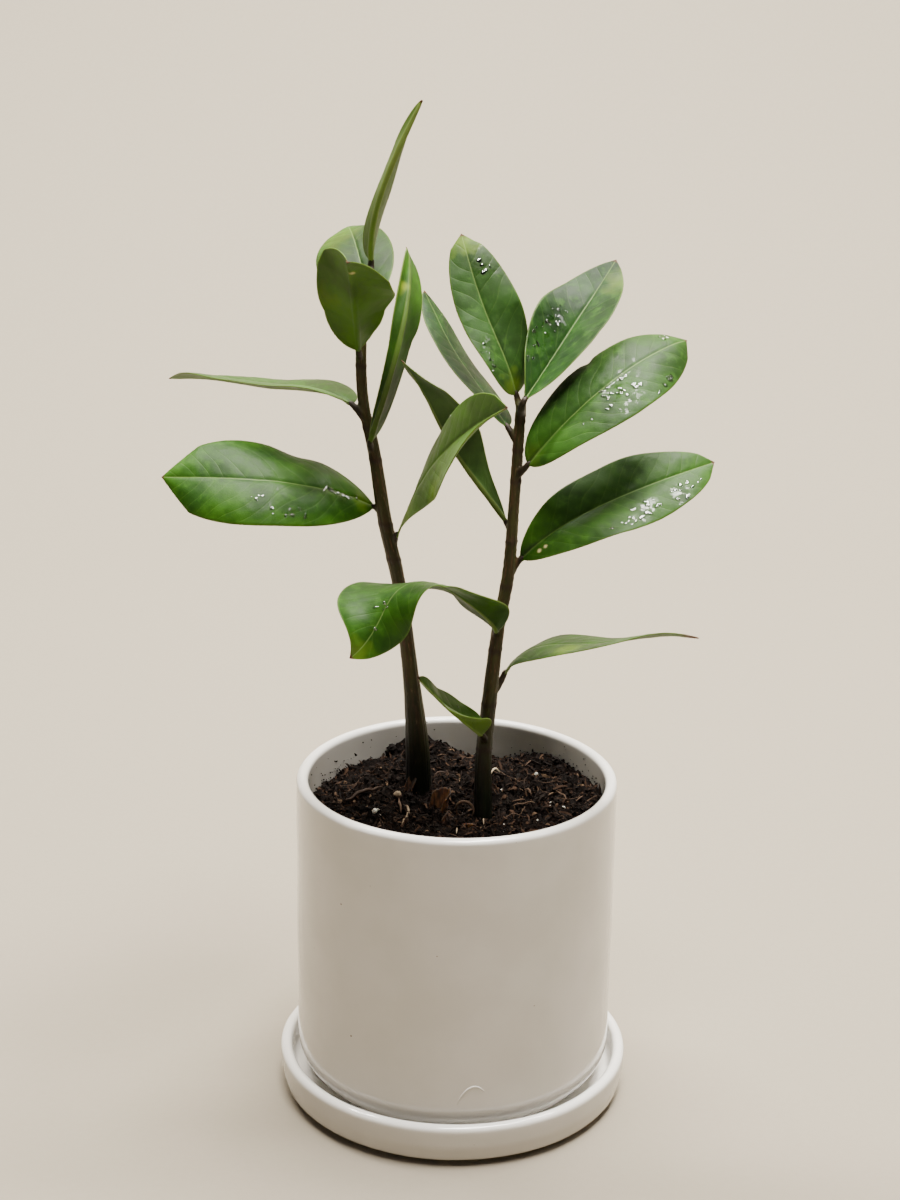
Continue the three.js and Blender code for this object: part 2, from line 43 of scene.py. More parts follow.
# ---------------------------------------------------------------------------
# Camera
# The photograph's own viewpoint, found from the ellipses of the pot's rim and of the
# saucer: a little above the plant, looking down on it, and turned by about a degree.
# ---------------------------------------------------------------------------
CAMERA_PLACE = (-3.94, -810.26, 480.8)
CAMERA_PITCH = 18.54
CAMERA_ROLL = 0.92
CAMERA_LENS = 66
CAMERA_FILM_HEIGHT = 36


def placed(name, data):
    """A new object in the scene."""
    thing = bpy.data.objects.new(name, data)
    bpy.context.scene.collection.objects.link(thing)
    return thing


eye = bpy.data.cameras.new("eye")
eye.sensor_fit = "VERTICAL"
eye.sensor_height = CAMERA_FILM_HEIGHT
eye.lens = CAMERA_LENS
camera = placed("camera", eye)
camera.matrix_world = (
    Matrix.Translation(Vector(CAMERA_PLACE) * MM)
    @ Matrix.Rotation(math.radians(90 - CAMERA_PITCH), 4, "X")
    @ Matrix.Rotation(math.radians(CAMERA_ROLL), 4, "Z")
)
bpy.context.scene.camera = camera


# ---------------------------------------------------------------------------
# Saucer
# A shallow dish of cast clay under a thick white glaze. It stands on a low foot that
# was wiped free of glaze, and its lip is rounded where the glaze drew back.
# ---------------------------------------------------------------------------
TURNING_STEPS = 288
CLAY_WAVES = 0.035  # turns a place in millimetres into waves about 30 mm long
CLAY_CENTRE = 20    # within this radius the unevenness fades

# the saucer's sizes
SAUCER_LIP = 2.45   # radius of its rounded lip
SAUCER_LIP_MIDDLE = 68.75
SAUCER_HEIGHT = 18
SAUCER_FLOOR = 7
SAUCER_CORNER = 3   # radius between its floor and its wall
SAUCER_SPACING = 2
SAUCER_WOBBLE = 0.25


def arc(centre_radius, centre_height, radius, start, end, steps):
    """Points of an arc in a profile, between two angles in degrees."""
    angles = np.radians(np.linspace(start, end, steps + 1))
    return [(centre_radius + radius * math.cos(a), centre_height + radius * math.sin(a)) for a in angles]


def even(profile, spacing):
    """The profile with points added so that none lie further apart than the spacing."""
    points = [profile[0]]
    for a, b in zip(profile, profile[1:]):
        pieces = max(1, math.ceil(math.dist(a, b) / spacing))
        points += [(a[0] + (b[0] - a[0]) * i / pieces, a[1] + (b[1] - a[1]) * i / pieces)
                   for i in range(1, pieces + 1)]
    return points


def new_piece(name, vertices, faces, material, slot, smooth=True):
    """A mesh object in the plant's own frame, from vertices in millimetres."""
    mesh = bpy.data.meshes.new(name)
    mesh.from_pydata((np.asarray(vertices, float) * MM).tolist(), [], faces)
    mesh.validate()
    if smooth:
        mesh.shade_smooth()
    piece = placed(name, mesh)
    mesh.materials.append(material)
    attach(piece, "root")
    return piece


def turned(profile, wobble):
    """Vertices and faces of a profile turned about the upright axis. Clay is never
    quite round, so the surface strays from the profile by the wobble."""
    vertices, rings, faces = [], [], []
    for radius, height in profile:
        count = TURNING_STEPS if radius > 0 else 1
        rings.append(range(len(vertices), len(vertices) + count))
        for k in range(count):
            angle = 2 * math.pi * k / count
            x, y = radius * math.cos(angle), radius * math.sin(angle)
            stray = wobble * noise.noise(Vector((x, y, height)) * CLAY_WAVES)
            scale = 1 + stray / max(radius, CLAY_CENTRE)
            vertices.append((x * scale, y * scale, height))
    for low, high in zip(rings, rings[1:]):
        for k in range(TURNING_STEPS):
            a, b = low[k % len(low)], low[(k + 1) % len(low)]
            c, d = high[(k + 1) % len(high)], high[k % len(high)]
            corners = list(dict.fromkeys((a, b, c, d)))
            if len(corners) > 2:
                faces.append(corners)
    return vertices, faces


class Shade:
    """A socket in a material's nodes, so that shading is written as an expression."""

    def __init__(self, tree, socket=None):
        self.tree = tree
        self.socket = socket

    def node(self, kind, inputs=None, output=0, stops=(), **settings):
        """Adds a node: its settings first, then the values or links of its sockets."""
        made = self.tree.nodes.new(kind)
        for name, value in settings.items():
            setattr(made, name, value)
        for index, (place, colour) in enumerate(stops):
            elements = made.color_ramp.elements
            element = elements[index] if index < 2 else elements.new(place)
            element.position = place
            element.color = colour
        for name, value in (inputs or {}).items():
            if isinstance(value, Shade):
                self.tree.links.new(value.socket, made.inputs[name])
            else:
                made.inputs[name].default_value = value
        return Shade(self.tree, made.outputs[output])

    def maths(self, operation, *values):
        return self.node("ShaderNodeMath", dict(enumerate(values)), operation=operation)

    def __add__(self, other):
        return self.maths("ADD", self, other)

    def __sub__(self, other):
        return self.maths("SUBTRACT", self, other)

    def __rsub__(self, other):
        return self.maths("SUBTRACT", other, self)

    def __mul__(self, other):
        if isinstance(other, tuple):
            return self.node("ShaderNodeVectorMath", {0: self, 1: other}, operation="MULTIPLY")
        return self.maths("MULTIPLY", self, other)

    __radd__ = __add__
    __rmul__ = __mul__

    def place(self):
        """The place on the piece, in the plant's own frame."""
        return self.node("ShaderNodeTexCoord", output="Object")

    def kept(self, name, output="Fac"):
        """What a piece keeps on its points under a name."""
        return self.node("ShaderNodeAttribute", output=output, attribute_name=name)

    def ramp(self, low, high):
        """0 below low and 1 above high, with a soft step between them."""
        inputs = {0: self, 1: low, 2: high}
        return self.node("ShaderNodeMapRange", inputs, interpolation_type="SMOOTHSTEP")

    def blend(self, *stops):
        """A colour for this value, from stops of a place from 0 to 1 and a colour."""
        stops = [(place, colour(code)) for place, code in stops]
        return self.node("ShaderNodeValToRGB", {"Fac": self}, stops=stops)

    def mix(self, share, a, b):
        """Colour a, turning into colour b as the share goes from 0 to 1."""
        a = colour(a) if isinstance(a, str) else a
        b = colour(b) if isinstance(b, str) else b
        return self.node("ShaderNodeMix", {0: share, 6: a, 7: b}, output=2, data_type="RGBA")

    def coats(self, base, *coats):
        """A base colour under thin coats, each of them a share and a colour."""
        for share, code in coats:
            base = self.mix(share, base, code)
        return base

    def noise(self, place, millimetres, detail=2.0, roughness=0.5):
        """Soft noise from 0 to 1, whose features are about that many millimetres."""
        scale = 1 / (millimetres * MM)
        inputs = {"Vector": place, "Scale": scale, "Detail": detail, "Roughness": roughness}
        return self.node("ShaderNodeTexNoise", inputs, output="Fac")

    def bump(self, height, depth):
        """A normal for a relief that is the depth, in millimetres, where height is 1."""
        inputs = {"Height": height, "Distance": depth * MM, "Strength": 1.0}
        return self.node("ShaderNodeBump", inputs)


def colour(code):
    """A linear colour from the six digits that screens use."""
    parts = [int(code[i:i + 2], 16) / 255 for i in (0, 2, 4)]
    return (*[p / 12.92 if p <= 0.04045 else ((p + 0.055) / 1.055) ** 2.4 for p in parts], 1.0)


def new_material(name, constants):
    """A material, its shader with what is the same all over, and a start for expressions."""
    material = bpy.data.materials.new(name)
    material.use_nodes = True
    shader = material.node_tree.nodes["Principled BSDF"]
    for socket, value in constants.items():
        shader.inputs[socket].default_value = value
    return material, shader, Shade(material.node_tree)


def drive(shader, links):
    """Links what varies over the surface to the shader's sockets."""
    for socket, value in links.items():
        value.tree.links.new(value.socket, shader.inputs[socket])


# The glaze is opaque white with a breath of warmth, with a few fine iron specks and the shallow unevenness
# that makes reflections swim.
# Its walls are painted a greyer white and its level tops a whiter one: painted shade and painted top light,
# as if lit from above.
glaze, shader, paint = new_material("white_glaze", {
    "IOR": 1.52,
    "Coat Weight": 0.35,
    "Coat Roughness": 0.04,
})
place = paint.place()
dots = paint.node("ShaderNodeTexVoronoi", {"Vector": place, "Scale": 130.0}, output="Distance")
specks = (1 - dots.ramp(0.028, 0.05)) * paint.noise(place, 15).ramp(0.5, 0.62) * 0.45
# painted top light: faces that look up are painted whiter, and the greyer white of the walls is painted
# shade
facing = paint.node("ShaderNodeTexCoord", output="Normal")
painted_top_light = paint.node("ShaderNodeSeparateXYZ", {0: facing}, output="Z").ramp(0.15, 0.8)
white = paint.mix(paint.noise(place, 28, 3).ramp(0.3, 0.7), "c2bdb4", "c9c4bc")
drive(shader, {
    "Base Color": paint.coats(white, (painted_top_light, "f5f3ee"), (specks, "8f7f70")),
    "Roughness": 0.05 + 0.07 * paint.noise(place, 9, 4).ramp(0.35, 0.75),
    "Normal": paint.bump(paint.noise(place, 5, 2), 0.035),
})

SAUCER_INNER_RADIUS = SAUCER_LIP_MIDDLE - SAUCER_LIP
saucer_profile = even([
    (0, 0), (62.4, 0), (63.2, 0.1), (63.8, 0.5), (64.4, 1.5), (64.9, 1.8), (67.4, 1.9), (68.4, 2.3),
    (69.3, 3.0), (69.7, 3.9), (70.9, 9.0), (71.1, 13.0),
    *arc(SAUCER_LIP_MIDDLE, SAUCER_HEIGHT - SAUCER_LIP, SAUCER_LIP, 0, 180, 20),
    *arc(SAUCER_INNER_RADIUS - SAUCER_CORNER, SAUCER_FLOOR + SAUCER_CORNER, SAUCER_CORNER, 0, -90, 10),
    (30, SAUCER_FLOOR), (0, SAUCER_FLOOR),
], SAUCER_SPACING)
saucer = new_piece("saucer_glazed", *turned(saucer_profile, SAUCER_WOBBLE), glaze, "white_glaze")
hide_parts("saucer")


# ---------------------------------------------------------------------------
# Pot
# A straight-sided cylinder of the same glazed clay, with a full round rim, a broad
# rounded foot, and a drain hole in its floor that the soil hides. A thread of glaze
# ran and set in a curl low on its front.
# ---------------------------------------------------------------------------
POT_RADIUS = 64
POT_WALL = 4.8
POT_FOOT = 7.3  # height of its underside, which stands in the saucer
POT_RIM = 136
POT_FLOOR = POT_FOOT + 6
DRAIN_RADIUS = 6
FOOT_CORNER = 16
FLOOR_CORNER = 10
INNER_RADIUS = POT_RADIUS - POT_WALL
POT_SPACING = 2.5
POT_WOBBLE = 0.3
GLAZE_RUN = [
    # place across and height of the middle of the thread, from right to left
    (12.4, 29.6), (10.4, 31.6), (8.4, 32.2), (6.4, 31.3), (4.2, 29.2), (2.6, 26.6), (2.0, 24.2),
]
GLAZE_RUN_RADIUS = 0.5
GLAZE_RUN_SUNK = 0.15
GLAZE_RUN_STEPS = 30
GLAZE_SPECKS = [
    # bearing in degrees, height and radius of the specks of iron that came through the glaze
    (-128.5, 45.7, 0.42), (-133.3, 100.8, 0.36), (-96.0, 88.0, 0.22), (-61.0, 63.5, 0.25),
    (40.0, 77.0, 0.35),
]
SPECK_LIFTS = (-0.5, 0.05, 0.12)  # from inside the wall to just proud of it
SPECK_SIDES = 14

pot_profile = even([
    (DRAIN_RADIUS, POT_FOOT),
    *arc(POT_RADIUS - FOOT_CORNER, POT_FOOT + FOOT_CORNER, FOOT_CORNER, -90, 0, 24),
    *arc(POT_RADIUS - POT_WALL / 2, POT_RIM - POT_WALL / 2, POT_WALL / 2, 0, 180, 24),
    *arc(INNER_RADIUS - FLOOR_CORNER, POT_FLOOR + FLOOR_CORNER, FLOOR_CORNER, 0, -90, 12),
    (DRAIN_RADIUS, POT_FLOOR), (DRAIN_RADIUS, POT_FOOT),
], POT_SPACING)
pot = new_piece("pot_glazed", *turned(pot_profile, POT_WOBBLE), glaze, "white_glaze")
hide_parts("pot")


def ring_faces(start, rings, size, inward=False):
    """Faces between neighbouring rings of that many points, numbered from start."""
    faces = []
    for ring in range(rings - 1):
        for k in range(size):
            a = start + ring * size + k
            b = start + ring * size + (k + 1) % size
            faces.append((a, a + size, b + size, b) if inward else (a, b, b + size, a + size))
    return faces


def tube(centres, radii, sides):
    """Vertices and faces of a round tube through the centres, closed at both ends."""
    centres = np.asarray(centres, float)
    along = np.gradient(centres, axis=0)
    along /= np.linalg.norm(along, axis=1, keepdims=True)
    side = np.cross(along[0], (0.31, 0.77, 0.55))  # any start that is not along the tube
    vertices = []
    for centre, direction, radius in zip(centres, along, radii):
        side = side - direction * (side @ direction)
        side /= np.linalg.norm(side)
        other = np.cross(direction, side)
        for k in range(sides):
            angle = 2 * math.pi * k / sides
            vertices.append(centre + radius * (math.cos(angle) * side + math.sin(angle) * other))
    end = (len(centres) - 1) * sides
    caps = [tuple(range(sides - 1, -1, -1)), tuple(range(end, end + sides))]
    return vertices, ring_faces(0, len(centres), sides) + caps


def joined(parts):
    """Several bodies of vertices and faces as one."""
    vertices, faces = [], []
    for part_vertices, part_faces in parts:
        start = len(vertices)
        vertices += list(part_vertices)
        faces += [tuple(i + start for i in face) for face in part_faces]
    return vertices, faces


def around(bearing, radius, height):
    """A point at a bearing in degrees about the upright axis."""
    angle = math.radians(bearing)
    return np.array([radius * math.cos(angle), radius * math.sin(angle), height])


def smooth_path(points, count):
    """Evenly numbered points of a soft curve that passes near the given ones."""
    points = np.asarray(points, float)
    for _ in range(3):
        early = points[:-1] * 0.75 + points[1:] * 0.25
        late = points[:-1] * 0.25 + points[1:] * 0.75
        cut = np.stack([early, late], axis=1).reshape(-1, points.shape[1])
        points = np.concatenate([points[:1], cut[1:-1], points[-1:]])
    steps = np.concatenate([[0], np.cumsum(np.linalg.norm(np.diff(points, axis=0), axis=1))])
    even_steps = np.linspace(0, steps[-1], count)
    return np.column_stack([np.interp(even_steps, steps, points[:, k]) for k in range(points.shape[1])])


run_radius = POT_RADIUS - GLAZE_RUN_SUNK
run_path = [(x, -math.sqrt(run_radius ** 2 - x * x), z) for x, z in smooth_path(GLAZE_RUN, GLAZE_RUN_STEPS)]
run_taper = np.sin(np.linspace(0.25, math.pi - 0.25, GLAZE_RUN_STEPS)) ** 0.5
new_piece("pot_glaze_run", *tube(run_path, GLAZE_RUN_RADIUS * run_taper, 10), glaze, "white_glaze")

iron, shader, paint = new_material("iron_speck", {"Roughness": 0.35})
drive(shader, {"Base Color": paint.mix(paint.noise(paint.place(), 0.3), "4a3a2e", "7a6553")})
speck_parts = []
for bearing, height, radius in GLAZE_SPECKS:
    centres = [around(bearing, POT_RADIUS + lift, height) for lift in SPECK_LIFTS]
    speck_parts.append(tube(centres, [radius, radius, radius * 0.5], SPECK_SIDES))
new_piece("pot_glaze_specks", *joined(speck_parts), iron, "white_glaze")


# ---------------------------------------------------------------------------
# Soil
# Loose potting mix that was poured in round the plant: dark peat and bark, heaped
# against the wall at the back and right, and lower at the front.
# ---------------------------------------------------------------------------
SOIL_GAP = 0.3  # between the soil and the pot
SOIL_LEVEL = 122
SOIL_RADIUS = INNER_RADIUS - SOIL_GAP
SOIL_WALL_HEIGHTS = [
    # bearing in degrees, height of the soil's edge above its level
    (0, 3), (10, 4), (30, 2.5), (43, 3.5), (54, 3.3), (65, -0.3), (72, -2.3), (85, -1.5),
    (94, 2.5), (102, 7), (112, 6), (122, 0), (150, -0.5), (180, 1), (225, 0), (270, -1),
    (315, 1.5), (360, 3),
]
SOIL_HEAP_START = 0.6
SOIL_MOUNDS = [
    # x, y, radius and height
    (-30, 30, 16, 3), (14, 26, 20, 4), (38, -6, 15, 3), (-34, -14, 18, 2.5),
    (-8, -8, 12, -2), (6, -38, 20, 1.5),
]
SOIL_RIPPLES = [
    # waves across, waves along and height
    (0.35, 0.41, 1.2), (0.8, 0.65, 0.6),
]
CLODS, CRUMBS, GRIT = 2.0, 0.9, 0.4  # heights of the soil's unevenness
CLOD_WAVES, CRUMB_WAVES, GRIT_WAVES = 0.16, 0.75, 2.1  # and how close together it comes
SOIL_RINGS, SOIL_SPOKES = 110, 420


def soft_step(value, low, high):
    t = min(max((value - low) / (high - low), 0), 1)
    return t * t * (3 - 2 * t)


def soil_height(x, y):
    """Height of the heaped soil, the same as the solid's."""
    mounds = sum(h * math.exp(-((x - mx) ** 2 + (y - my) ** 2) / r ** 2) for mx, my, r, h in SOIL_MOUNDS)
    bearing = math.degrees(math.atan2(y, x)) % 360
    at_wall = float(np.interp(bearing, *zip(*SOIL_WALL_HEIGHTS)))
    near_wall = soft_step(math.hypot(x, y) / SOIL_RADIUS, SOIL_HEAP_START, 1)
    ripples = sum(h * math.sin(x * a) * math.cos(y * b) for a, b, h in SOIL_RIPPLES)
    return SOIL_LEVEL + mounds + (at_wall - mounds) * near_wall + ripples * (1 - near_wall)


def crumbly_height(x, y):
    """The soil's height with its clods, crumbs and grit."""
    clods = noise.fractal(Vector((x, y, 3.0)) * CLOD_WAVES, 1.0, 2.0, 3)
    crumbs = noise.noise(Vector((x, y, 9.0)) * CRUMB_WAVES)
    grit = noise.noise(Vector((x, y, 5.0)) * GRIT_WAVES)
    return soil_height(x, y) + CLODS * clods + CRUMBS * crumbs + GRIT * grit


def fan(centre, first, size, inward=False):
    """Faces from one point to a ring of that many points."""
    pairs = [(first + k, first + (k + 1) % size) for k in range(size)]
    return [(centre, b, a) if inward else (centre, a, b) for a, b in pairs]


soil_mix, shader, paint = new_material("potting_soil", {"Specular IOR Level": 0.08})
place = paint.place()
crumb = paint.noise(place, 1.4, 5, 0.68)
earth = paint.mix(crumb.ramp(0.38, 0.75), "050302", "170d08")
drive(shader, {
    "Base Color": paint.mix(paint.noise(place, 9, 3).ramp(0.55, 0.78) * 0.5, earth, "20130d"),
    "Roughness": 0.75 + 0.2 * crumb,
    "Normal": paint.bump(crumb + 0.5 * paint.noise(place, 0.5, 3), 0.8),
})

soil_bottom = POT_FLOOR + SOIL_GAP
vertices = [(0, 0, crumbly_height(0, 0))]
ring_sizes = [(SOIL_RADIUS * ring / SOIL_RINGS, None) for ring in range(1, SOIL_RINGS + 1)]
ring_sizes.append((SOIL_RADIUS, soil_bottom + FLOOR_CORNER))
ring_sizes.append((SOIL_RADIUS - FLOOR_CORNER, soil_bottom))
for radius, height in ring_sizes:
    for k in range(SOIL_SPOKES):
        angle = 2 * math.pi * k / SOIL_SPOKES
        x, y = radius * math.cos(angle), radius * math.sin(angle)
        vertices.append((x, y, crumbly_height(x, y) if height is None else height))
last = len(vertices)
vertices.append((0, 0, soil_bottom))
faces = fan(0, 1, SOIL_SPOKES) + ring_faces(1, len(ring_sizes), SOIL_SPOKES, inward=True)
faces += fan(last, last - SOIL_SPOKES, SOIL_SPOKES, inward=True)
soil = new_piece("soil_bed", vertices, faces, soil_mix, "potting_soil")
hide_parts("soil")


# ---------------------------------------------------------------------------
# Bark shreds and crumbs
# Shredded bark lies all over the soil in split, bent strips up to 7 mm long, between
# crumbs and a few dark chunks. Some of it sticks to the pot's wall above the soil.
# ---------------------------------------------------------------------------
SHRED_COUNT = 4300
CRUMB_COUNT = 2100
CHUNK_COUNT = 46
WALL_CRUMB_COUNT = 110
WALL_BITS = [
    # bearing of larger bits that lean on the wall, height, length and tone
    (137.7, 128.0, 1.8, 0.30), (120.9, 124.5, 3.0, 0.25), (150.5, 129.0, 1.4, 0.20),
    (146.4, 123.5, 4.5, 0.25), (141.9, 124.0, 4.0, 0.45), (139.5, 123.0, 4.5, 0.20),
    (32.8, 125.5, 3.5, 0.30), (28.5, 125.5, 4.0, 0.25), (47.8, 126.5, 2.4, 0.20),
    (56.4, 127.5, 1.6, 0.30), (5.5, 128.0, 6.0, 0.42), (11.0, 127.0, 4.0, 0.20),
]
LUMPS_SEEN = [
    # x, y, radius and tone of the lumps that show best in the photograph
    (-46.8, 1.2, 1.6, 0.85), (-45.8, 21.2, 1.5, 0.80), (19.5, 4.7, 1.8, 0.72), (23.3, 10.4, 1.6, 0.70),
    (22.1, -6.8, 1.4, 0.74), (41.3, 37.1, 2.8, 0.12), (-27.4, 50.4, 2.6, 0.10),
]
SHRED_SHORTEST, SHRED_LONGEST = 1.1, 7.0
SHRED_WIDTHS = (0.4, 1.3)
SHRED_THICKNESSES = (0.2, 0.5)
SHRED_LIFTS = (-0.2, 1.1)
WALL_BIT_WIDTHS = (0.8, 1.3)
WALL_BIT_THICKNESS = 0.45
WALL_BIT_GAP = 1.4     # from the soil's edge to the middle of a bit on the wall
WALL_BIT_SINK = 0.6    # how far a bit's middle lies below the height given
WALL_CRUMB_GAP = 0.25  # from the pot's inner wall to the middle of a crumb
WALL_CRUMB_SIZES = (0.15, 0.5)
CRUMB_SMALLEST = 0.22
CHUNK_SIZES = (1.0, 1.8)
STATIONS = np.array([-1.0, -0.35, 0.35, 1.0])  # along a shred
CORNERS = np.array([(1, 1), (-1, 1), (-1, -1), (1, -1)])  # at each station
BALL_RINGS = 4
BALL_SPOKES = 6

rng = np.random.default_rng(41)


def turn_about(axis, angle):
    return np.array(Matrix.Rotation(angle, 3, axis))


def keep(piece, name, values):
    """Keeps values on a piece's points, for its material to read."""
    values = np.asarray(values, np.float32)
    kind, field = ("FLOAT", "value") if values.ndim == 1 else ("FLOAT_VECTOR", "vector")
    attribute = piece.data.attributes.new(name, kind, "POINT")
    attribute.data.foreach_set(field, values.ravel())


def with_tones(name, points, faces, tones, material, smooth=False):
    """A piece of the soil with a tone kept on each of its points."""
    piece = new_piece(name, points, faces, material, "potting_soil", smooth)
    keep(piece, "tone", tones)


def scattered(name, bits, bit_faces, tones, material):
    """One piece from many bits that have the same faces, with a tone for each bit."""
    points, faces = joined([(bit, bit_faces) for bit in bits])
    with_tones(name, points, faces, np.repeat(tones, len(bits[0])), material)


def on_soil(margin):
    """A random place on the soil, at least the margin away from the pot's wall."""
    while True:
        x, y = rng.uniform(-SOIL_RADIUS, SOIL_RADIUS, 2)
        if math.hypot(x, y) < SOIL_RADIUS - margin:
            return x, y


bark, shader, paint = new_material("bark", {"Specular IOR Level": 0.12})
grain = paint.noise(paint.place(), 0.6, 4, 0.6)
bark_tone = paint.kept("tone") + 0.3 * (grain - 0.5)
drive(shader, {
    "Base Color": bark_tone.blend((0.0, "060302"), (0.4, "170e09"), (0.75, "3c2a1e"), (1.0, "7c6650")),
    "Roughness": 0.68 + 0.25 * grain,
    "Normal": paint.bump(grain, 0.22),
})

shred_faces = [(3, 2, 1, 0), (12, 13, 14, 15)] + ring_faces(0, len(STATIONS), len(CORNERS))


def shred(centre, length, width, thickness, turn):
    """The points of a split strip that tapers, bends and is rough all over."""
    taper = np.array([rng.uniform(0.15, 0.8), 1, rng.uniform(0.7, 1.1), rng.uniform(0.1, 0.7)])
    bow, arch = rng.normal(0, 0.1, 2) * length
    points = []
    for share, size in zip(STATIONS, taper):
        for along, up in CORNERS:
            points.append((
                share * length / 2,
                bow * (1 - share ** 2) + along * size * width / 2,
                arch * (1 - share ** 2) + up * size * thickness / 2,
            ))
    points = np.array(points) + rng.normal(0, 0.06, (16, 3)) * min(width, 1)
    return points @ turn.T + centre


bits, tones = [], []
for _ in range(SHRED_COUNT):
    length = min(SHRED_SHORTEST + rng.exponential(1.35), SHRED_LONGEST)
    x, y = on_soil(0.4 + length / 2)
    turn = turn_about("Z", rng.uniform(0, 2 * math.pi)) @ turn_about("Y", rng.normal(0, 0.5))
    turn = turn @ turn_about("X", rng.normal(0, 0.7))
    place = (x, y, crumbly_height(x, y) + rng.uniform(*SHRED_LIFTS))
    width, thickness = rng.uniform(*SHRED_WIDTHS), rng.uniform(*SHRED_THICKNESSES)
    bits.append(shred(place, length, width, thickness, turn))
    tones.append(min(rng.beta(1.3, 2.6), 0.98))
for bearing, height, length, tone_here in WALL_BITS:
    centre = around(bearing, SOIL_RADIUS - WALL_BIT_GAP, height - WALL_BIT_SINK)
    turn = turn_about("Z", math.radians(bearing + 90) + rng.normal(0, 0.3))
    turn = turn @ turn_about("Y", rng.normal(-1.0, 0.35))
    bits.append(shred(centre, length, rng.uniform(*WALL_BIT_WIDTHS), WALL_BIT_THICKNESS, turn))
    tones.append(tone_here)
scattered("bark_shreds", bits, shred_faces, tones, bark)

ball_points = [(0.0, 0.0, -1.0)]
for ring in range(1, BALL_RINGS):
    tilt = math.pi * ring / BALL_RINGS - math.pi / 2
    for k in range(BALL_SPOKES):
        angle = 2 * math.pi * (k + 0.5 * ring) / BALL_SPOKES
        flat = math.cos(tilt)
        ball_points.append((flat * math.cos(angle), flat * math.sin(angle), math.sin(tilt)))
ball_points = np.array([*ball_points, (0.0, 0.0, 1.0)])
ball_top = len(ball_points) - 1
ball_faces = fan(0, 1, BALL_SPOKES, inward=True) + ring_faces(1, BALL_RINGS - 1, BALL_SPOKES)
ball_faces += fan(ball_top, ball_top - BALL_SPOKES, BALL_SPOKES)


def lump(sizes, centre, turn, roughness):
    """The points of a rough ball, stretched, turned and put in its place."""
    points = ball_points * (1 + roughness * rng.uniform(-1, 1, (len(ball_points), 1)))
    return (points * sizes) @ turn.T + centre


crumbs, tones = [], []
for number in range(CRUMB_COUNT + CHUNK_COUNT):
    chunk = number >= CRUMB_COUNT
    size = rng.uniform(*CHUNK_SIZES) if chunk else CRUMB_SMALLEST + min(rng.exponential(0.22), 0.8)
    x, y = on_soil(1.0 + size)
    turn = turn_about("Z", rng.uniform(0, 6)) @ turn_about("X", rng.uniform(0, 3))
    sizes = size * np.array([1, rng.uniform(0.6, 1), rng.uniform(0.5, 0.9)])
    crumbs.append(lump(sizes, (x, y, crumbly_height(x, y) + 0.3 * size), turn, 0.25))
    tones.append(rng.uniform(0.05, 0.3) if chunk else min(rng.beta(1.4, 3.2), 0.95))
for x, y, size, tone_here in LUMPS_SEEN:
    turn = turn_about("Z", rng.uniform(0, 6)) @ turn_about("X", rng.normal(0, 0.3))
    sizes = size * np.array([1, 0.8, 0.6])
    crumbs.append(lump(sizes, (x, y, crumbly_height(x, y) + 0.5 * size), turn, 0.22))
    tones.append(tone_here)
for _ in range(WALL_CRUMB_COUNT):
    bearing = rng.choice([rng.normal(145, 14), rng.normal(30, 22), rng.uniform(0, 360)])
    x, y, _ = around(bearing, INNER_RADIUS - WALL_CRUMB_GAP, 0)
    size = rng.uniform(*WALL_CRUMB_SIZES)
    height = soil_height(x * 0.985, y * 0.985) + min(rng.exponential(2.4), 9)
    sizes = size * np.array([1, 0.7, 0.7])
    crumbs.append(lump(sizes, (x, y, height), turn_about("Z", rng.uniform(0, 6)), 0.3))
    tones.append(rng.uniform(0.0, 0.4))
scattered("soil_crumbs", crumbs, ball_faces, tones, bark)


# ---------------------------------------------------------------------------
# Perlite
# Popped grains of white volcanic glass that keep the mix open. They lie among the
# crumbs, some of them half buried, and are dusted with peat.
# ---------------------------------------------------------------------------
PERLITE_COUNT = 22
PERLITE_SEEN = [
    # x, y and radius of the grains that show best in the photograph
    (-32.1, -16.7, 1.3), (-30.2, -17.4, 0.8), (-31.0, -15.2, 0.7), (33.1, 27.4, 1.0),
    (32.2, -14.0, 0.9), (33.4, -13.2, 0.7), (18.4, 11.9, 0.8), (37.7, -2.1, 0.8),
    (36.8, -7.0, 0.7), (42.8, -4.7, 0.8), (-2.9, 56.1, 0.8),
]
PERLITE_LIFT = 0.45  # how far a grain's middle stands above the soil, in its own radius
PERLITE_SIZES = (0.3, 0.6)
PERLITE_LIFTS = (-0.1, 0.5)

perlite, shader, paint = new_material("perlite", {"Roughness": 0.9, "Subsurface Weight": 0.1})
place = paint.place()
dust = paint.noise(place, 1.1, 3).ramp(0.42, 0.7) * 0.45
drive(shader, {
    "Base Color": paint.mix(dust, "ece6da", "8a7660"),
    "Normal": paint.bump(paint.noise(place, 0.35, 2), 0.3),
})

grains = [(x, y, size, PERLITE_LIFT) for x, y, size in PERLITE_SEEN]
while len(grains) < PERLITE_COUNT:
    grains.append((*on_soil(3), rng.uniform(*PERLITE_SIZES), rng.uniform(*PERLITE_LIFTS)))
bits = []
for x, y, size, lift in grains:
    centre = (x, y, crumbly_height(x, y) + lift * size)
    turn = turn_about("Z", rng.uniform(0, 6)) @ turn_about("X", rng.uniform(0, 3))
    bits.append(lump(size * np.array([1, 0.85, 0.7]), centre, turn, 0.25))
scattered("perlite_grains", bits, ball_faces, np.zeros(len(bits)), perlite)


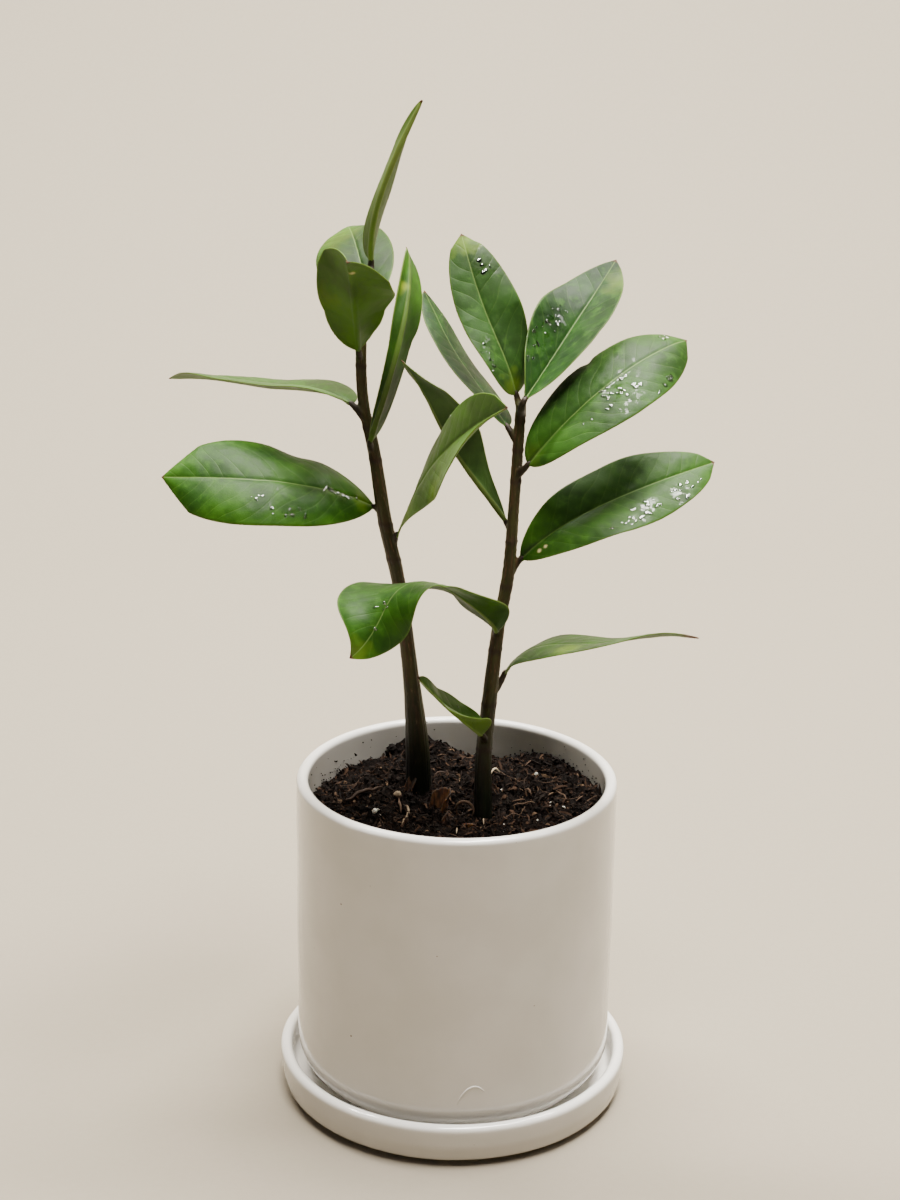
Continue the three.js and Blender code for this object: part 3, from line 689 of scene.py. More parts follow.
# ---------------------------------------------------------------------------
# Fibres, roots and twigs
# Coir and root threads lie in loose bows over the soil, with a bent twig, a pale root
# with a swollen node, and a few whiskers. A few ends stand up.
# ---------------------------------------------------------------------------
FIBRE_COUNT = 110
FIBRE_SIDES = 6
FIBRE_STEPS = 12
FIBRE_LENGTHS = (4, 15)
FIBRE_RADII = (0.07, 0.2)
FIBRE_BOWS = (0.2, 1.6)  # how far the middle of a fibre stands up
FIBRE_TONES = (0.05, 0.7)
THREADS_SEEN = [
    # tone, radius at its thickest, and the points it passes through: x, y and lift
    (0.80, 0.55, [(-20.6, -2.8, 0.9), (-18.8, -10.1, 1.6), (-19.5, -15.0, 1.2), (-21.2, -24.4, 0.8)]),
    (0.62, 0.60, [(-23.2, 3.8, 1.2), (-22.8, -4.0, 1.6), (-22.0, -11.9, 0.6)]),
    (0.75, 0.25, [(-21.0, 15.7, 1.0), (-18.6, 17.2, 2.4), (-17.0, 18.0, 3.6)]),
    (0.42, 0.85, [(-44.6, -1.6, 1.0), (-40.9, 3.2, 1.6), (-37.0, 6.8, 1.5), (-33.1, 11.2, 1.6),
                  (-29.9, 11.7, 0.9)]),
    (0.85, 0.30, [(0.0, -31.0, 0.6), (0.2, -28.6, 2.2), (0.0, -26.0, 0.8)]),
    (0.80, 0.28, [(10.8, -25.0, 0.5), (10.4, -19.0, 2.0), (11.3, -12.8, 1.2)]),
    (1.00, 0.50, [(14.0, 21.0, 0.7), (16.1, 24.1, 1.8), (17.8, 24.5, 0.9)]),
    (0.55, 0.55, [(27.3, 10.2, 0.8), (28.8, 7.5, 2.0), (29.9, 3.6, 0.7)]),
    (0.72, 0.35, [(22.2, -1.9, 0.8), (25.4, -2.2, 1.3), (27.8, 0.5, 0.7)]),
    (0.74, 0.30, [(22.5, -4.5, 0.8), (25.3, -3.0, 1.4), (31.2, -6.2, 0.7)]),
    (0.60, 0.25, [(-4.1, 46.9, 0.8), (-6.4, 45.6, 1.4), (-8.3, 43.6, 0.7)]),
    (0.60, 0.25, [(2.6, 41.3, 0.8), (0.2, 41.6, 1.3), (-2.0, 40.9, 0.7)]),
    (0.66, 0.30, [(40.3, 10.7, 0.8), (43.0, 5.4, 1.6), (43.8, 0.4, 0.8)]),
    (0.66, 0.28, [(47.8, -0.4, 0.8), (49.6, 1.8, 1.2), (50.8, 3.7, 0.8)]),
    (0.60, 0.28, [(28.3, 33.6, 0.8), (30.2, 36.4, 1.4), (31.4, 39.5, 0.8)]),
    (0.45, 0.45, [(-9.7, 22.6, 0.6), (-7.0, 24.6, 2.6), (-3.6, 24.0, 0.6)]),
]
THREAD_STEPS = 22
THREAD_LIFT = 0.3
C_ROOT_PLACE = (3.2, -13.0)
C_ROOT_LIFT = 3.6
C_ROOT_RADIUS = 3.5
C_ROOT_CLOSES = 280   # degrees of the circle that the root goes round
C_ROOT_MIDDLE = 100   # degrees at which the middle of the root stands
C_ROOT_LEAN = 0.5
C_ROOT_THICKNESS = 0.65
C_ROOT_TONE = 0.62
NODE_PLACE = (-23.8, 4.5, 124.3)
NODE_SIZES = (1.7, 1.7, 1.9)
NODE_TONE = 0.62
NODE_TOP_TONE = 0.82  # it is paler on top,
NODE_TOP = 0.4        # from this far above its middle

fibre, shader, paint = new_material("fibre", {"Specular IOR Level": 0.2})
place = paint.place()
stain = paint.noise(place, 4, 3)
fibre_tone = paint.kept("tone") + 0.35 * (stain - 0.5)
drive(shader, {
    "Base Color": fibre_tone.blend((0.0, "120a07"), (0.4, "2a1c13"), (0.75, "665040"), (1.0, "bfae90")),
    "Roughness": 0.55 + 0.3 * stain,
    "Normal": paint.bump(paint.noise(place, 0.5, 2), 0.1),
})

threads, tones = [], []


def lay(centres, radius, tone_here):
    """Adds a thread that tapers to both ends."""
    taper = radius * np.sin(np.linspace(0.3, math.pi - 0.3, len(centres)))
    threads.append(tube(centres, taper, FIBRE_SIDES))
    tones.extend([tone_here] * (len(centres) * FIBRE_SIDES))


for _ in range(FIBRE_COUNT):
    x, y = on_soil(2)
    heading, curl = rng.uniform(0, 2 * math.pi), rng.normal(0, 0.16)
    length, bow = rng.uniform(*FIBRE_LENGTHS), rng.uniform(*FIBRE_BOWS)
    centres = []
    pace = length / (FIBRE_STEPS - 1)
    for t in np.linspace(0, 1, FIBRE_STEPS):
        if math.hypot(x, y) > SOIL_RADIUS - 0.8:
            break
        ground = 0.35 * crumbly_height(x, y) + 0.65 * soil_height(x, y)
        centres.append((x, y, ground + 0.6 + bow * math.sin(math.pi * t)))
        x, y = x + pace * math.cos(heading), y + pace * math.sin(heading)
        heading += curl + rng.normal(0, 0.12)
    if len(centres) > 3:
        lay(centres, rng.uniform(*FIBRE_RADII), rng.uniform(*FIBRE_TONES))
for tone_here, radius, path in THREADS_SEEN:
    path = smooth_path(path, THREAD_STEPS)
    lay([(x, y, soil_height(x, y) + lift + THREAD_LIFT) for x, y, lift in path], radius, tone_here)
root_x, root_y = C_ROOT_PLACE
root_height = soil_height(root_x, root_y) + C_ROOT_LIFT
root_path = []
for angle in np.linspace(-C_ROOT_CLOSES / 2, C_ROOT_CLOSES / 2, 26) + C_ROOT_MIDDLE:
    a = math.radians(angle)
    root_path.append((root_x + C_ROOT_RADIUS * math.cos(a), root_y + C_ROOT_LEAN * a,
                      root_height + C_ROOT_RADIUS * math.sin(a)))
lay(root_path, C_ROOT_THICKNESS, C_ROOT_TONE)
with_tones("fibres_and_roots", *joined(threads), tones, fibre, smooth=True)

node_mesh = bmesh.new()
bmesh.ops.create_uvsphere(node_mesh, u_segments=28, v_segments=18, radius=1)
node_mesh.verts.index_update()
node_points = []
for vertex in node_mesh.verts:
    swelling = 1 + 0.12 * noise.noise(vertex.co * 1.7)
    node_points.append(np.array(NODE_SIZES) * vertex.co * swelling + NODE_PLACE)
node_faces = [tuple(v.index for v in face.verts) for face in node_mesh.faces]
node_tones = [NODE_TOP_TONE if point[2] > NODE_PLACE[2] + NODE_TOP else NODE_TONE for point in node_points]
node_mesh.free()
with_tones("root_node", node_points, node_faces, node_tones, fibre, smooth=True)


# ---------------------------------------------------------------------------
# Dried sheaths
# Papery brown sheaths that dried at the stems' feet, tore and curled up. One stands
# upright between the stems and the rest lie loose on the soil.
# ---------------------------------------------------------------------------
SHEATH_THICKNESS = 0.3
SHEATH_ROWS, SHEATH_STEPS = 18, 22
SHEATH_TORN, SHEATH_FRAYED = 0.16, 0.05  # unevenness of its end, as shares of its length
SHEATH_POINTED = 0.25  # share by which its corners fall short of its middle
SHEATH_CLOSING = 0.22  # share by which it narrows round towards its end
SHEATH_FLARE, SHEATH_RIPPLE = 0.2, 0.12
SHEATHS = [
    # foot on the soil with its lift, axis, direction of its closed back, radius, length, degrees closed
    ((-8.5, -5.5, -1.0), (0.10, 0.05, 1.0), (0.9, 0.5, 0.0), 4.3, 11.5, 215),
    ((-12.0, -23.5, 0.9), (1.0, 0.35, 0.10), (0.0, 0.1, -1.0), 8.0, 13.0, 60),
    ((-3.5, -19.0, 0.8), (0.5, 0.9, 0.30), (-0.6, 0.1, -0.8), 3.0, 8.0, 170),
    ((2.0, -24.0, 1.2), (0.9, -0.35, 0.15), (0.1, 0.6, -0.8), 2.2, 6.0, 230),
    ((-20.5, 8.5, 0.2), (0.25, 0.2, 1.0), (0.7, 0.7, 0.0), 2.2, 7.0, 150),
]

husk, shader, paint = new_material("husk", {"Specular IOR Level": 0.4, "Subsurface Weight": 0.05})
stripe = paint.noise(paint.place() * (1.0, 1.0, 0.25), 1.2, 4, 0.6)
drive(shader, {
    "Base Color": paint.mix(stripe.ramp(0.36, 0.72), "190f09", "573b28"),
    "Roughness": 0.45 + 0.35 * stripe,
    "Normal": paint.bump(stripe, 0.35),
})

def two_sided(rows, columns):
    """Faces of the two sides of a thin sheet: a grid of points and one behind it."""
    behind = rows * columns
    faces = []
    for row in range(rows - 1):
        for column in range(columns - 1):
            a = row * columns + column
            b, c, d = a + 1, a + columns + 1, a + columns
            faces += [(a, b, c, d), (a + behind, d + behind, c + behind, b + behind)]
    return faces


def sheath_points(number, foot, axis, back, radius, length, closes, extra):
    """A grid of points on one side of a torn and rippled sheath."""
    axis = Vector(axis).normalized()
    back = (Vector(back) - axis * axis.dot(Vector(back))).normalized()
    side = axis.cross(back)
    points = []
    for row in range(SHEATH_ROWS + 1):
        t = row / SHEATH_ROWS
        for k in range(SHEATH_STEPS + 1):
            share = 2 * k / SHEATH_STEPS - 1
            torn = SHEATH_TORN * noise.noise(Vector((share * 4, number, 1)))
            torn += SHEATH_FRAYED * noise.noise(Vector((share * 15, 0, number)))
            angle = math.radians(closes / 2) * share * (1 - SHEATH_CLOSING * t)
            ripple = SHEATH_RIPPLE * noise.noise(Vector((share * 3, t * 2, number)))
            r = radius * (1 + SHEATH_FLARE * (t - 0.5) + ripple) + extra
            along = length * t * (1 + torn - SHEATH_POINTED * share ** 2)
            points.append(foot + axis * along + (back * math.cos(angle) + side * math.sin(angle)) * r)
    return points


stride = SHEATH_STEPS + 1
behind = (SHEATH_ROWS + 1) * stride
top = SHEATH_ROWS * stride
sheath_faces = two_sided(SHEATH_ROWS + 1, stride)
for a in range(0, top, stride):
    b = a + SHEATH_STEPS
    sheath_faces.append((a, a + stride, a + stride + behind, a + behind))
    sheath_faces.append((b, b + behind, b + stride + behind, b + stride))
for a in range(SHEATH_STEPS):
    b = top + a
    sheath_faces.append((a, a + behind, a + 1 + behind, a + 1))
    sheath_faces.append((b, b + 1, b + 1 + behind, b + behind))
sheath_parts = []
for number, ((x, y, lift), *form) in enumerate(SHEATHS):
    foot = Vector((x, y, soil_height(x, y) + lift))
    sides = [sheath_points(number, foot, *form, extra) for extra in (0, SHEATH_THICKNESS)]
    sheath_parts.append((sides[0] + sides[1], sheath_faces))
new_piece("dried_sheaths", *joined(sheath_parts), husk, "potting_soil")


# ---------------------------------------------------------------------------
# Stems
# Each stem is a fleshy upright leaf stalk, thick, smooth and nearly black where it
# leaves the soil, and olive brown with fine lengthwise mottling above. A short dark
# stalk leaves it at every leaflet, over a faint ring.
# ---------------------------------------------------------------------------
STEM_POINTS = {
    # points that each stem passes through, with its radius there
    "left": [
        (-15.5, 15.5, 96, 4.4), (-15.5, 15.5, 122, 5.1), (-16.5, 15, 145, 4.5), (-19, 14.3, 171, 3.2),
        (-24, 13.3, 210, 2.7), (-30, 12.5, 238, 2.7), (-34.2, 12, 265, 2.4), (-38.2, 11.4, 284, 2.1),
        (-39.2, 11, 304, 2.1), (-38, 10.6, 322, 1.9), (-35.8, 10.2, 334, 1.7),
    ],
    "right": [
        (10.5, -11.5, 96, 3.2), (10.5, -11.3, 122, 3.5), (10.2, -10.2, 147, 3.1), (12.3, -9, 174, 2.9),
        (15, -7.8, 201, 2.5), (18.3, -5.6, 222, 2.4), (19.8, -2.6, 248, 2.1), (21.2, 0.4, 276, 2.1),
        (21.8, 1.7, 287, 1.9),
    ],
}
STEM_STEPS = 260
STEM_SIDES = 40
STEM_GRAIN = 0.42  # size of the facets that the fused stem is made of
STEM_SMOOTHING = 3
STEM_RIDGES = 22
STEM_RIDGE_HEIGHT = 0.09
STEM_SWELL = 0.22
STEM_DARK_BELOW = 178  # height under which the stem turns nearly black
STEM_DARK_OVER = 45    # within this length
STEM_GRAIN_DRAWN_OUT = 0.12  # the mottling runs lengthwise
NODE_RING_HEIGHT = 0.16
NODE_RING_DROP = 2.2   # how far a ring lies under its stalk
POINTS_AT_ONCE = 4000  # keeps the search for the nearest place small
STALK_STEPS = 18
STALK_SIDES = 20
STALK_NODE_RADIUS = 1.9
STALK_END_RADIUS = 1.15
STALK_INTO_BLADE = 1.5
STALK_BEND_SHARE = 0.4
STALK_WRINKLES = 0.07

LEAFLETS = {
    "left": [
        {
          "base": [-35.6, 12.4, 338.8], "node": 333, "heading": -94, "rise": 59, "roll": -21,
          "length": 69.5, "width": 16, "bend": [2, -20, -36, -30, 3], "sweep": [-53, -24, -5],
          "twist": [104, 51, -54, -182], "fold": [65, 72, 76, 70], "cup": 0.07, "belly": 0.35,
          "tip": 0.72, "lop": -0.05, "wave": [0.8, 1.5, 0.1],
        },
        {
          "base": [-36.7, 13.5, 317.9], "node": 313, "heading": 88, "rise": 18, "roll": 42,
          "length": 68.5, "width": 31, "bend": [-98, 29, 143], "sweep": [-6, -19],
          "twist": [-101, -5, -15], "fold": [20, 7, -3], "cup": 0.18, "belly": 0.53, "tip": 0.68,
          "lop": -0.12, "wave": [0.3, 2, 0.33],
        },
        {
          "base": [-40, 6.7, 305.6], "node": 301, "heading": 267, "rise": 51, "roll": -26, "length": 59.5,
          "width": 37.5, "bend": [108, -43, -48, 119, 31], "sweep": [6, 13, -100],
          "twist": [57, 70, 76, -22], "fold": [22, 41, 33, 56], "cup": 0.3, "belly": 0.62, "tip": 0.51,
          "lop": 0.05, "wave": [-1, 2, 0.13], "dent": [-1, 0.16, 1.5, 0.05],
        },
        {
          "base": [-35.5, 7.3, 270.2], "node": 264, "heading": -74, "rise": 48, "roll": 26,
          "length": 84.5, "width": 17, "bend": [-118, -102, -69], "sweep": [-13, 6],
          "twist": [-50, -12, -221], "fold": [62, 58, 7], "cup": 0.26, "belly": 0.58, "tip": 0.33,
          "lop": -0.33, "wave": [0.4, 2, -0.05], "dent": [-1, 0.55, 1.2, 0.04],
        },
        {
          "base": [-42.9, 11, 284], "node": 276.5, "heading": 127, "rise": 17, "roll": -10,
          "length": 86.5, "width": 39, "bend": [130, -45, 92], "sweep": [-61, -12],
          "twist": [29, -18, -20], "fold": [22, 18, 14], "cup": 0.19, "belly": 0.49, "tip": 0.59,
          "lop": -0.16, "wave": [-0.3, 2.5, -0.24],
        },
        {
          "base": [-34.1, 15.6, 241.9], "node": 238, "heading": 219, "rise": 31, "roll": 53,
          "length": 88.5, "width": 41.5, "bend": [76, 57, 83], "sweep": [-3, 42], "twist": [-47, 12, 81],
          "fold": [9, 13, 13], "cup": 0.37, "belly": 0.56, "tip": 0.6, "lop": 0.03,
          "wave": [0.2, 2.5, 0.26], "dent": [1, 0.38, 2.2, 0.1],
        },
        {
          "base": [-25.2, 9.6, 232.5], "node": 223.5, "heading": -71, "rise": 47, "roll": -68,
          "length": 115.5, "width": 31, "bend": [0, 34, -10], "sweep": [0, 38], "twist": [-6, -19, 75],
          "fold": [-7, 5, 44], "cup": 0.11, "belly": 0.67, "tip": 0.66, "lop": 0.2,
          "wave": [-0.4, 2, 0.18],
        },
    ],
    "right": [
        {
          "base": [19.9, 3.9, 290.4], "node": 285, "heading": 226, "rise": 76, "roll": 83, "length": 65,
          "width": 25.5, "bend": [134, -10, 60], "sweep": [19, 21], "twist": [46, 67, -83],
          "fold": [10, 17, 0], "cup": 0.17, "belly": 0.45, "tip": 0.56, "lop": 0.12,
          "wave": [-0.7, 2, -0.47],
        },
        {
          "base": [23, -5.4, 290.8], "node": 283, "heading": 69, "rise": 17, "roll": -29, "length": 75,
          "width": 32, "bend": [-125, 11, -10], "sweep": [15, -10], "twist": [45, 30, -20],
          "fold": [53, 34, -6], "cup": -0.03, "belly": 0.48, "tip": 0.8, "lop": 0.03,
          "wave": [1, 2, 0.49],
        },
        {
          "base": [16.7, 1.2, 278.5], "node": 272, "heading": 128, "rise": 41, "roll": -14, "length": 69,
          "width": 23.5, "bend": [41, -29, 6], "sweep": [-7, 17], "twist": [-71, 25, -1],
          "fold": [11, 2, -3], "cup": 0.15, "belly": 0.44, "tip": 0.74, "lop": 0.11,
          "wave": [0.4, 2, 0.27],
        },
        {
          "base": [24.8, -5.1, 265.4], "node": 260, "heading": -19, "rise": 54, "roll": -63, "length": 86,
          "width": 34, "bend": [61, 72, 120], "sweep": [-21, -9], "twist": [55, -38, -34],
          "fold": [34, 10, -2], "cup": 0.29, "belly": 0.47, "tip": 0.65, "lop": 0.05,
          "wave": [-0.4, 2.5, 0.04], "dent": [-1, 0.52, 0.9, 0.03],
        },
        {
          "base": [23, -5.1, 227.9], "node": 219.5, "heading": -30, "rise": 48, "roll": -89,
          "length": 87.5, "width": 32, "bend": [153, 33, 26], "sweep": [16, -10], "twist": [94, -7, -57],
          "fold": [32, 13, 12], "cup": 0.17, "belly": 0.52, "tip": 0.7, "lop": 0.04,
          "wave": [0.7, 2.5, -0.1],
        },
        {
          "base": [17, 3.2, 240.3], "node": 237, "heading": 198, "rise": 56, "roll": -49, "length": 80.5,
          "width": 34, "bend": [60, -57, 106], "sweep": [-7, -5], "twist": [-31, 91, 43],
          "fold": [78, 54, 10], "cup": 0.23, "belly": 0.71, "tip": 0.32, "lop": 0.07,
          "wave": [0.7, 2, -0.42],
        },
        {
          "base": [17.9, -5.8, 181.5], "node": 172, "heading": -50, "rise": 67, "roll": -25,
          "length": 93.5, "width": 29.5, "bend": [240, 130, -70, 34, 119], "sweep": [-2, 11, -14],
          "twist": [19, 37, 40, 39], "fold": [-4, -1, 5, 9], "cup": 0.1, "belly": 0.48, "tip": 0.75,
          "lop": -0.15, "wave": [0.6, 2, 0.05],
        },
        {
          "base": [14, -11.5, 200.4], "node": 194, "heading": 272, "rise": 33, "roll": 11, "length": 89.5,
          "width": 41, "bend": [-86, -54, 46, 239, 392, -81, -160], "sweep": [223, 168, -72, 8, 281],
          "twist": [-47, 146, -37, 100, 350, 160], "fold": [30, 11, -11, 1, 9], "cup": -0.06,
          "belly": 0.53, "tip": 0.86, "lop": 0.17, "wave": [-1, 2, -0.26],
        },
        {
          "base": [9.1, -14.8, 158.9], "node": 153.5, "heading": 221, "rise": 41.5, "roll": 10.5,
          "length": 42.5, "width": 18.5, "bend": [-3, 3, -12, -10, -4], "sweep": [7, 16, 9],
          "twist": [20, 25, 36, 33], "fold": [75, 36, 14, 30], "cup": 0.05, "belly": 0.37, "tip": 0.65,
          "lop": -0.12, "wave": [0.3, 2, -0.02],
        },
    ],
}


def rounded_curve(points, steps):
    """Evenly numbered points of the centripetal curve through the given points."""
    points = [Vector(p) for p in points]
    points = [points[0] * 2 - points[1], *points, points[-1] * 2 - points[-2]]
    result = []
    spans = len(points) - 3
    for i in range(steps + 1):
        place = min(i / steps * spans, spans - 1e-9)
        k = int(place)
        p0, p1, p2, p3 = points[k:k + 4]
        t0 = 0.0
        t1 = t0 + (p1 - p0).length ** 0.5
        t2 = t1 + (p2 - p1).length ** 0.5
        t3 = t2 + (p3 - p2).length ** 0.5
        t = t1 + (t2 - t1) * (place - k)
        a1 = p0 * ((t1 - t) / (t1 - t0)) + p1 * ((t - t0) / (t1 - t0))
        a2 = p1 * ((t2 - t) / (t2 - t1)) + p2 * ((t - t1) / (t2 - t1))
        a3 = p2 * ((t3 - t) / (t3 - t2)) + p3 * ((t - t2) / (t3 - t2))
        b1 = a1 * ((t2 - t) / (t2 - t0)) + a2 * ((t - t0) / (t2 - t0))
        b2 = a2 * ((t3 - t) / (t3 - t1)) + a3 * ((t - t1) / (t3 - t1))
        result.append(b1 * ((t2 - t) / (t2 - t1)) + b2 * ((t - t1) / (t2 - t1)))
    return result


def start_direction(leaf):
    rise = math.radians(leaf["rise"])
    return Vector(around(leaf["heading"], math.cos(rise), math.sin(rise)))


def stalk(centre_line, leaf):
    """A short curved stalk from the stem into the blade's base."""
    along = start_direction(leaf)
    start = min(centre_line, key=lambda point: abs(point.z - leaf["node"]))
    end = Vector(leaf["base"])
    bend = end - along * (end - start).length * STALK_BEND_SHARE
    centres, radii = [], []
    for i in range(STALK_STEPS + 1):
        t = i / STALK_STEPS
        centres.append(start * (1 - t) ** 2 + bend * 2 * t * (1 - t) + end * t ** 2)
        wrinkle = STALK_WRINKLES * math.sin(22 * t) * math.sin(math.pi * t)
        radii.append(STALK_NODE_RADIUS + (STALK_END_RADIUS - STALK_NODE_RADIUS) * t ** 0.5 + wrinkle)
    centres.append(end + along * STALK_INTO_BLADE)
    radii.append(STALK_END_RADIUS * 0.45)
    return tube(centres, radii, STALK_SIDES)


def fused(name, body, grain, smoothing):
    """A mesh of overlapping bodies made into one skin of even facets, then smoothed."""
    rough = bpy.data.meshes.new(name)
    vertices, faces = body
    rough.from_pydata([list(v) for v in vertices], [], faces)
    carrier = placed(name, rough)
    remesh = carrier.modifiers.new("fuse", "REMESH")
    remesh.mode = "VOXEL"
    remesh.voxel_size = grain
    smooth = carrier.modifiers.new("smooth", "SMOOTH")
    smooth.factor = 0.5
    smooth.iterations = smoothing
    graph = bpy.context.evaluated_depsgraph_get()
    done = bpy.data.meshes.new_from_object(carrier.evaluated_get(graph))
    points = np.empty(len(done.vertices) * 3)
    done.vertices.foreach_get("co", points)
    faces = [tuple(face.vertices) for face in done.polygons]
    bpy.data.objects.remove(carrier)
    bpy.data.meshes.remove(done)
    return points.reshape(-1, 3), faces


def parts_of(paint, name):
    """The three numbers that a piece keeps under a name."""
    split = paint.node("ShaderNodeSeparateXYZ", {0: paint.kept(name, "Vector")})
    return [Shade(paint.tree, split.socket.node.outputs[k]) for k in range(3)]


stem_skin, shader, paint = new_material("stem_skin", {
    "Specular IOR Level": 0.3,
    "Subsurface Weight": 0.04,
    "Subsurface Radius": (0.002, 0.002, 0.001),
})
grain = paint.kept("grain", "Vector")
age, stalky, wrinkled = parts_of(paint, "traits")
streak = paint.noise(grain, 1.1, 4, 0.62)
mottle = paint.noise(grain, 3.2, 2)
spots = paint.noise(grain, 0.55, 2, 0.5)
green = paint.mix(mottle.ramp(0.35, 0.65), "2c2b10", "423f1a")
brown = paint.mix(streak.ramp(0.35, 0.7), "23150b", "4a351f")
young = paint.mix((streak - 0.12 * spots).ramp(0.36, 0.6), green, brown)
young = paint.mix(spots.ramp(0.62, 0.72) * 0.6, young, "6a5638")
old = paint.mix(mottle.ramp(0.4, 0.75), "080b04", "131a0a")
old = paint.mix(streak.ramp(0.62, 0.75) * 0.4, old, "2c2f18")
skin = paint.mix(age, young, old)
drive(shader, {
    "Base Color": paint.coats(skin, (wrinkled * 0.7, "2b1b13"), (stalky * 0.85, "20130c")),
    "Roughness": 0.42 + 0.25 * streak - 0.12 * age,
    "Normal": paint.bump(streak + 0.4 * spots, 0.16),
})

for side, points in STEM_POINTS.items():
    line = rounded_curve([p[:3] for p in points], STEM_STEPS)
    places = np.linspace(0, len(points) - 1, STEM_STEPS + 1)
    radii = np.interp(places, range(len(points)), [p[3] for p in points])
    parts = [tube(line, radii, STEM_SIDES)]
    parts += [stalk(line, leaf) for leaf in LEAFLETS[side]]
    skin_points, skin_faces = fused("stem_" + side + "_fused", joined(parts), STEM_GRAIN, STEM_SMOOTHING)

    # every point's place round and along the stem, for its ridges and its grain
    centres = np.array(line)
    nearest = np.empty(len(skin_points), int)
    for first in range(0, len(skin_points), POINTS_AT_ONCE):
        part = skin_points[first:first + POINTS_AT_ONCE]
        gaps = ((part[:, None, :] - centres[None]) ** 2).sum(axis=2)
        nearest[first:first + POINTS_AT_ONCE] = gaps.argmin(axis=1)
    outward = skin_points - centres[nearest]
    distance = np.linalg.norm(outward, axis=1)
    radius_here = radii[nearest]
    angle = np.arctan2(outward[:, 1], outward[:, 0])
    off_stem = np.clip((distance - radius_here - 0.25) / 1.0, 0, 1)
    height = skin_points[:, 2]
    ridge = np.array([noise.noise(Vector((math.cos(a) * 3.2, math.sin(a) * 3.2, h * 0.018)))
                      for a, h in zip(angle, height)])
    fold = np.sin(STEM_RIDGES * angle + 3 * ridge)
    relief = (STEM_RIDGE_HEIGHT * fold + STEM_SWELL * ridge) * (1 - off_stem)
    wrinkled = np.zeros(len(height))
    for leaf in LEAFLETS[side]:
        ring = np.abs(height - leaf["node"] + NODE_RING_DROP + 0.8 * ridge)
        relief += NODE_RING_HEIGHT * np.exp(-(ring / 0.7) ** 2) * (1 - off_stem)
        wrinkled = np.maximum(wrinkled, np.exp(-(ring / 1.4) ** 2))
    skin_points = skin_points + outward / distance[:, None] * relief[:, None]

    piece = new_piece("stem_" + side + "_skin", skin_points, skin_faces, stem_skin, "stem")
    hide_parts("stem_" + side)
    round_stem = [np.cos(angle) * radius_here, np.sin(angle) * radius_here]
    keep(piece, "grain", np.column_stack([*round_stem, height * STEM_GRAIN_DRAWN_OUT]) * MM)
    darkening = np.clip((STEM_DARK_BELOW - height) / STEM_DARK_OVER, 0, 1)
    keep(piece, "traits", np.column_stack([darkening, off_stem, wrinkled]))


# ---------------------------------------------------------------------------
# Leaflets
# Thick waxy blades with a pointed tip, each grown from its stalk in one piece. The
# midrib is a groove above and a ridge below, and the flesh swells between side veins.
# ---------------------------------------------------------------------------
BLADE_STEPS = 96
BLADE_ROWS = 176
BLADE_COLUMNS = 24
BLADE_BASE = 1.3
BLADE_TIP = 0.16
BLADE_TIP_SLOPE = 1.15
BLADE_WAVE_LEAD = 0.25
BLADE_WAVE_RISE = 0.25
BLADE_THICKNESS = 0.7
BLADE_EDGE_THICKNESS = 0.36
BLADE_RIM = 0.12           # how far the margin is rounded out
BLADE_EVEN_ROWS = 0.45     # share of even spacing, the rest draws rows to both ends
BLADE_COLUMN_POWER = 1.15  # draws columns towards the midrib
BLADE_EDGE_TAPER = 4.0     # distance from the margin over which the blade thins
BLADE_UNDER_SHARE = 0.6    # how much of the swelling shows below
MIDRIB_WIDTH_ABOVE = 0.7
MIDRIB_WIDTH_BELOW = 0.8
VEINS_FROM_EDGE = 2.5      # distances over which the veins fade out
VEINS_FROM_MIDRIB = 2.0
VEINS_TO_TIP = 7           # they also fade over the last seventh of the blade
DRY_TIP = 1.5              # length of the brown point
MIDRIB_GROOVE = 0.24
MIDRIB_RIDGE = 0.5
VEIN_SPACING = 7.2
VEIN_LEAN = 0.8      # how far a side vein runs forward for each millimetre out
VEIN_CURVE = 0.016
VEIN_STRAY = 2.2
VEIN_SWELL = 0.17
QUILTING = 0.11      # small swellings between the finest veins
DIMPLES = 0.2        # broad unevenness of the whole blade
WATER_RIPPLE = 0.12  # where water stands in thin puddles


def profile_at(values, u):
    values = np.asarray(values, float)
    if len(values) == 1:
        return np.full(np.shape(u), values[0])
    return np.interp(u, np.linspace(0, 1, len(values)), values)


def midrib_frames(leaf, rows):
    """Centres and forward, right and up directions of the blade at the given rows."""
    along = np.array(start_direction(leaf))
    right = np.cross(along, (0, 0, 1.0))
    right /= np.linalg.norm(right)
    up = np.cross(right, along)

    def turn(a, b, degrees):
        c, s = math.cos(math.radians(degrees)), math.sin(math.radians(degrees))
        return a * c + b * s, b * c - a * s

    right, up = turn(right, up, leaf["roll"])
    centre = np.array(leaf["base"], float)
    frames = [np.concatenate([centre, along, right, up])]
    for step in range(BLADE_STEPS):
        u = (step + 0.5) / BLADE_STEPS
        along, up = turn(along, up, -profile_at(leaf["bend"], u) / BLADE_STEPS)
        along, right = turn(along, right, profile_at(leaf["sweep"], u) / BLADE_STEPS)
        right, up = turn(right, up, profile_at(leaf["twist"], u) / BLADE_STEPS)
        centre = centre + along * leaf["length"] / BLADE_STEPS
        frames.append(np.concatenate([centre, along, right, up]))
    frames = np.array(frames)
    grid = np.linspace(0, 1, BLADE_STEPS + 1)
    finer = np.column_stack([np.interp(rows, grid, frames[:, k]) for k in range(12)]).reshape(-1, 4, 3)
    directions = finer[:, 1:] / np.linalg.norm(finer[:, 1:], axis=2, keepdims=True)
    return finer[:, 0], directions[:, 0], directions[:, 1], directions[:, 2]


